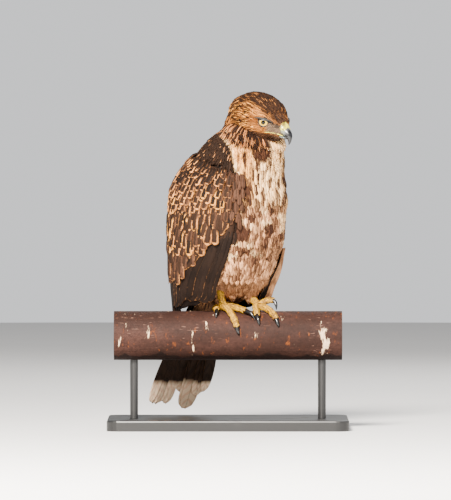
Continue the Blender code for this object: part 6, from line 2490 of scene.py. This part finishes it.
@dataclass
class Foot:
    """A tarsus and four toes in one scaled skin, with scutes and claws."""

    side: Side
    tarsus: list
    toes: dict
    skin: bpy.types.Material
    horn: bpy.types.Material
    tree: CoatTree
    shapes: TuftShapes
    voxel: float = 0.75

    def toe_line(self, rows: list[tuple]) -> tuple[Array, Array]:
        """A toe's or claw's centre line and radii, drawn fine."""
        line = smooth_line(rows, 6 * len(rows))
        return grip_points(line[:, :3]), line[:, 3]

    def build(self) -> None:
        """Add the skin, the scutes and the claws."""
        name = self.side.name.lower()
        joined = bmesh.new()
        line = smooth_line(self.tarsus, 20)
        shapes = [ring_loft("tarsus", tube_rings(perch_points(line[:, :3]), line[:, 3], 20))]
        for toe, (rows, _) in self.toes.items():
            points, radii = self.toe_line(rows)
            joints = 1.08 + 0.11 * np.cos(np.linspace(0.0, 2.0 * math.pi * (len(rows) - 1), len(radii)))
            shapes.append(ring_loft("toe", tube_rings(points, radii * joints, 18)))
        for mesh in shapes:
            joined.from_mesh(mesh)
        whole = bpy.data.meshes.new("foot")
        joined.to_mesh(whole)
        joined.free()
        item = bpy.data.objects.new("foot_form", whole)
        bpy.context.scene.collection.objects.link(item)
        remesh = item.modifiers.new("remesh", "REMESH")
        remesh.mode = "VOXEL"
        remesh.voxel_size = self.voxel * MM
        smooth = item.modifiers.new("smooth", "SMOOTH")
        smooth.iterations = 3
        graph = bpy.context.evaluated_depsgraph_get()
        skin = bpy.data.meshes.new_from_object(item.evaluated_get(graph))
        bpy.data.objects.remove(item, do_unlink=True)
        skin.shade_smooth()
        nodes = tuple(f"toe_{name}_{toe}" for toe in self.toes) + (f"tarsus_{name}",)
        add_piece("foot_" + name, skin, self.skin, nodes)
        for toe, (rows, claw_rows) in self.toes.items():
            self.add_claw(toe, rows, claw_rows)
        self.add_scutes()

    def scute_rows(self, points: Array, radii: Array, out: Array, angles: tuple, step: float) -> list[tuple]:
        """Roots of scales along a toe or tarsus.

        Args:
            points: Its centre line, from the leg outwards.
            radii: Its radii.
            out: The way its top faces, for each point.
            angles: Where the columns of scales run, in degrees from the top.
            step: Distance between scales.

        Returns:
            Place, out, lie, length and width of every scale.
        """
        run = np.concatenate(((0.0,), np.cumsum(np.linalg.norm(np.diff(points, axis=0), axis=1))))
        found = []
        for column, angle in enumerate(angles):
            spots = np.arange(step * (0.5 + 0.5 * (column % 2)), run[-1], step)
            centre = np.stack([np.interp(spots, run, points[:, k]) for k in range(3)], axis=1)
            ahead = np.stack([np.interp(spots + 0.5, run, points[:, k]) for k in range(3)], axis=1)
            behind = np.stack([np.interp(spots - 0.5, run, points[:, k]) for k in range(3)], axis=1)
            lie = unit(ahead - behind)
            top = along_surface(np.stack([np.interp(spots, run, out[:, k]) for k in range(3)], axis=1), lie)
            radius = np.interp(spots, run, radii)
            turn = math.radians(angle)
            way = top * math.cos(turn) + np.cross(lie, top) * math.sin(turn)
            wide = radius * (1.35 if angle == 0 else 0.85)
            place = centre + way * (radius * 0.90)[:, None]
            found.append((place, way, lie, np.full(len(spots), step * 1.35), wide))
        return found

    def add_scutes(self) -> None:
        """Raised scales over the toes and round the tarsus."""
        found = []
        for rows, _ in self.toes.values():
            points, radii = self.toe_line(rows)
            out = (points - PERCH) * np.array((0.0, 1.0, 1.0))
            found += self.scute_rows(points, radii, out, (-48, 0, 48), 2.7)
        line = smooth_line(self.tarsus, 30)
        points = perch_points(line[:, :3])
        ahead = np.tile(BIRD.forward, (len(points), 1))
        found += self.scute_rows(points, line[:, 3], ahead, (0, 50, 95, 140, 180, 220, 265, 310), 3.0)
        place, out, lie, length, width = (np.concatenate(column) for column in zip(*found))
        count = len(place)
        plain = np.tile(PALETTE.cream, (count, 1))
        marks = Markings(plain, plain, plain, np.zeros((count, 3)))
        start = 0.0 if self.side is Side.RIGHT else 0.5
        order = np.arange(count)
        unwrap = np.stack((start + 0.01 + 0.48 * (order % 24) / 24.0, 0.01 + 0.98 * (order // 24) * 24.0 / count), axis=1)
        roots = Roots(place, out, lie, unwrap, length, width, np.full(count, 0.10), marks)
        name = "scutes_" + self.side.name.lower()
        shapes = self.shapes.collections[Tuft.SCALE]
        add_piece(name, self.tree.grow(name, roots, shapes, self.skin, 61))

    def add_claw(self, toe: str, rows: list[tuple], claw_rows: list[tuple]) -> None:
        """A curved claw from the end of its toe."""
        end = rows[-1]
        start = (end[0], end[1], end[2], end[3] * 0.86)
        line = smooth_line([start] + list(claw_rows), 26)
        points = grip_points(line[:, :3])
        rings = tube_rings(points, line[:, 3], 20)
        mesh = ring_loft("claw", rings)
        along = np.concatenate((np.repeat(np.linspace(0.0, 1.0, 26), 20), (0.0, 1.0)))
        set_attribute(mesh, "along", "FLOAT", along)
        name = self.side.name.lower()
        add_piece(f"talon_{name}_{toe}", mesh, self.horn, (f"claw_{name}_{toe}",))


@dataclass
class Stand:
    """The pipe, rods and base, which keep the part's own shapes."""

    rust: bpy.types.Material
    paint: bpy.types.Material

    def build(self) -> None:
        """Give the part's nodes their finishes."""
        for name, material in (
            ("perch_pipe", self.rust),
            ("stand_base", self.paint),
            ("stand_rod_left", self.paint),
            ("stand_rod_right", self.paint),
        ):
            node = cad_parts[name]
            for slot in node.material_slots:
                slot.material = material
            log.info("%s: finished as %s", name, material.name)


@dataclass
class Studio:
    """Floor, lights and the camera at the photograph's angle."""

    pixel: float = 0.00149
    image: tuple[int, int] = (451, 500)
    middle: tuple[float, float, float] = (-0.0037, -0.038, 0.2674)
    distance: float = 12.0
    elevation: float = math.radians(1.0)
    sensor: float = 36.0

    def build(self) -> None:
        """Add the studio."""
        self.add_floor()
        self.add_light("key", (-0.6, -2.7, 2.0), 0.8, 625.0, (1.0, 0.93, 0.84))
        self.add_light("fill", (2.4, -2.0, 1.0), 2.4, 16.0, (0.96, 0.97, 1.0))
        self.add_light("back", (0.8, 2.2, 2.0), 1.8, 40.0, (1.0, 0.98, 0.95))
        world = bpy.data.worlds.new("studio")
        bpy.context.scene.world = world
        world.use_nodes = True
        background = world.node_tree.nodes["Background"]
        background.inputs[0].default_value = (0.92, 0.93, 0.95, 1.0)
        nodes = Nodes(world.node_tree)
        seen = world.node_tree.nodes.new("ShaderNodeLightPath").outputs["Is Camera Ray"]
        strength = nodes.math("MULTIPLY_ADD", seen, 0.60)
        strength.node.inputs[2].default_value = 0.40
        nodes.feed(background.inputs[1], strength)
        self.add_camera()

    def add_floor(self) -> None:
        """A pale round floor."""
        turns = np.linspace(0.0, 2.0 * math.pi, 96, endpoint=False)
        rings = [np.stack((r * np.cos(turns), r * np.sin(turns), np.zeros(96)), axis=1) for r in (200.0, 6000.0)]
        faces = grid_faces(2, 96, closed=True)
        faces.append(tuple(range(95, -1, -1)))
        material, nodes, shader = new_material("studio_floor")
        tone = nodes.noise(nodes.object_place(), 3.0, 2.0)
        nodes.feed(shader.inputs["Base Color"], nodes.mix(tone, (0.88, 0.88, 0.88), (0.92, 0.92, 0.92)))
        shader.inputs["Roughness"].default_value = 0.6
        mesh = make_mesh("studio_floor", np.concatenate(rings), faces, material)
        floor = bpy.data.objects.new("studio_floor", mesh)
        bpy.context.scene.collection.objects.link(floor)
        floor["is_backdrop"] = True

    def add_light(self, name: str, place: tuple, size: float, power: float, colour: tuple) -> None:
        """A soft square light that looks at the bird."""
        data = bpy.data.lights.new("light_" + name, "AREA")
        data.energy = power
        data.size = size
        data.color = colour
        lamp = bpy.data.objects.new("light_" + name, data)
        lamp.location = place
        towards = Vector(self.middle) - Vector(place)
        lamp.rotation_euler = towards.to_track_quat("-Z", "Y").to_euler()
        bpy.context.scene.collection.objects.link(lamp)

    def add_camera(self) -> None:
        """The camera, far off and level, framing as the photograph does."""
        data = bpy.data.cameras.new("camera")
        data.sensor_width = self.sensor
        data.lens = self.sensor * self.distance / (max(self.image) * self.pixel)
        data.clip_end = 100.0
        camera = bpy.data.objects.new("camera", data)
        middle = Vector(self.middle)
        flat = math.cos(self.elevation) * self.distance
        camera.location = middle + Vector((0.0, -flat, math.sin(self.elevation) * self.distance))
        camera.rotation_euler = (middle - camera.location).to_track_quat("-Z", "Y").to_euler()
        bpy.context.scene.collection.objects.link(camera)
        bpy.context.scene.camera = camera


def write_sizes() -> None:
    """Gather the part's box and the dressed model's box as plain numbers."""
    boxes = {"cad": CAD_BOX, "visual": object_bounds()}
    plain = {name: [[float(value) for value in corner] for corner in box] for name, box in boxes.items()}


def main() -> None:
    """Dress the hawk, its perch and its stand."""
    logging.basicConfig(level=logging.INFO, format="%(message)s")
    pattern = feather_pattern()
    wear = scratches_group()
    small = FeatherFinish("small_feathers", pattern, bar_count=1.0, barb_count=60.0).build()
    soft = FeatherFinish("soft_feathers", pattern, bar_count=1.6, barb_count=60.0, roughness=0.8).build()
    coverts = FeatherFinish("covert_feathers", pattern, bar_count=1.0, barb_count=190.0, side_fringe=0.78).build()
    vanes = FeatherFinish("wing_vanes", pattern, bar_count=3.0, barb_count=900.0, side_fringe=0.9).build()
    tail = FeatherFinish("tail_vanes", pattern, bar_count=9.0, barb_count=1000.0, grain=60.0, relief=0.00004).build()
    under = UnderFinish().build()
    Stand(RustFinish(wear).build(), PaintFinish(wear).build()).build()
    coat = Coat(CoatTree(), TuftShapes(), small, soft, under)
    coat.skin()
    coat.grow()
    for side, edge in ((Side.RIGHT, RIGHT_WING_EDGE), (Side.LEFT, LEFT_WING_EDGE)):
        Wing(side, edge, vanes, coverts, coat.tree, coat.shapes).build()
    Tail(tail).build()
    Face(
        eye=EyeFinish().build(),
        lid=SkinFinish("lid_skin", linear(46, 48, 54), linear(20, 20, 24), 500.0).build(),
        brow=SkinFinish("brow_skin", linear(66, 52, 36), linear(24, 18, 14), 500.0, 0.75).build(),
        cere=SkinFinish("cere_skin", linear(226, 216, 160), linear(166, 150, 98), 190.0, 0.26).build(),
        bill=HornFinish("bill_horn", linear(156, 154, 152), linear(20, 20, 24), 0.02, 0.48).build(),
        lower_bill=HornFinish("lower_bill_horn", linear(150, 156, 150), linear(60, 62, 64), 0.3, 1.0).build(),
    ).build()
    skin = FootFinish().build()
    talon = HornFinish("talon_horn", linear(60, 54, 50), linear(18, 17, 18), 0.0, 0.25).build()
    Foot(Side.RIGHT, RIGHT_TARSUS, RIGHT_TOES, skin, talon, coat.tree, coat.shapes).build()
    Foot(Side.LEFT, LEFT_TARSUS, LEFT_TOES, skin, talon, coat.tree, coat.shapes).build()
    Studio().build()
    write_sizes()


if __name__ == "__main__":
    main()
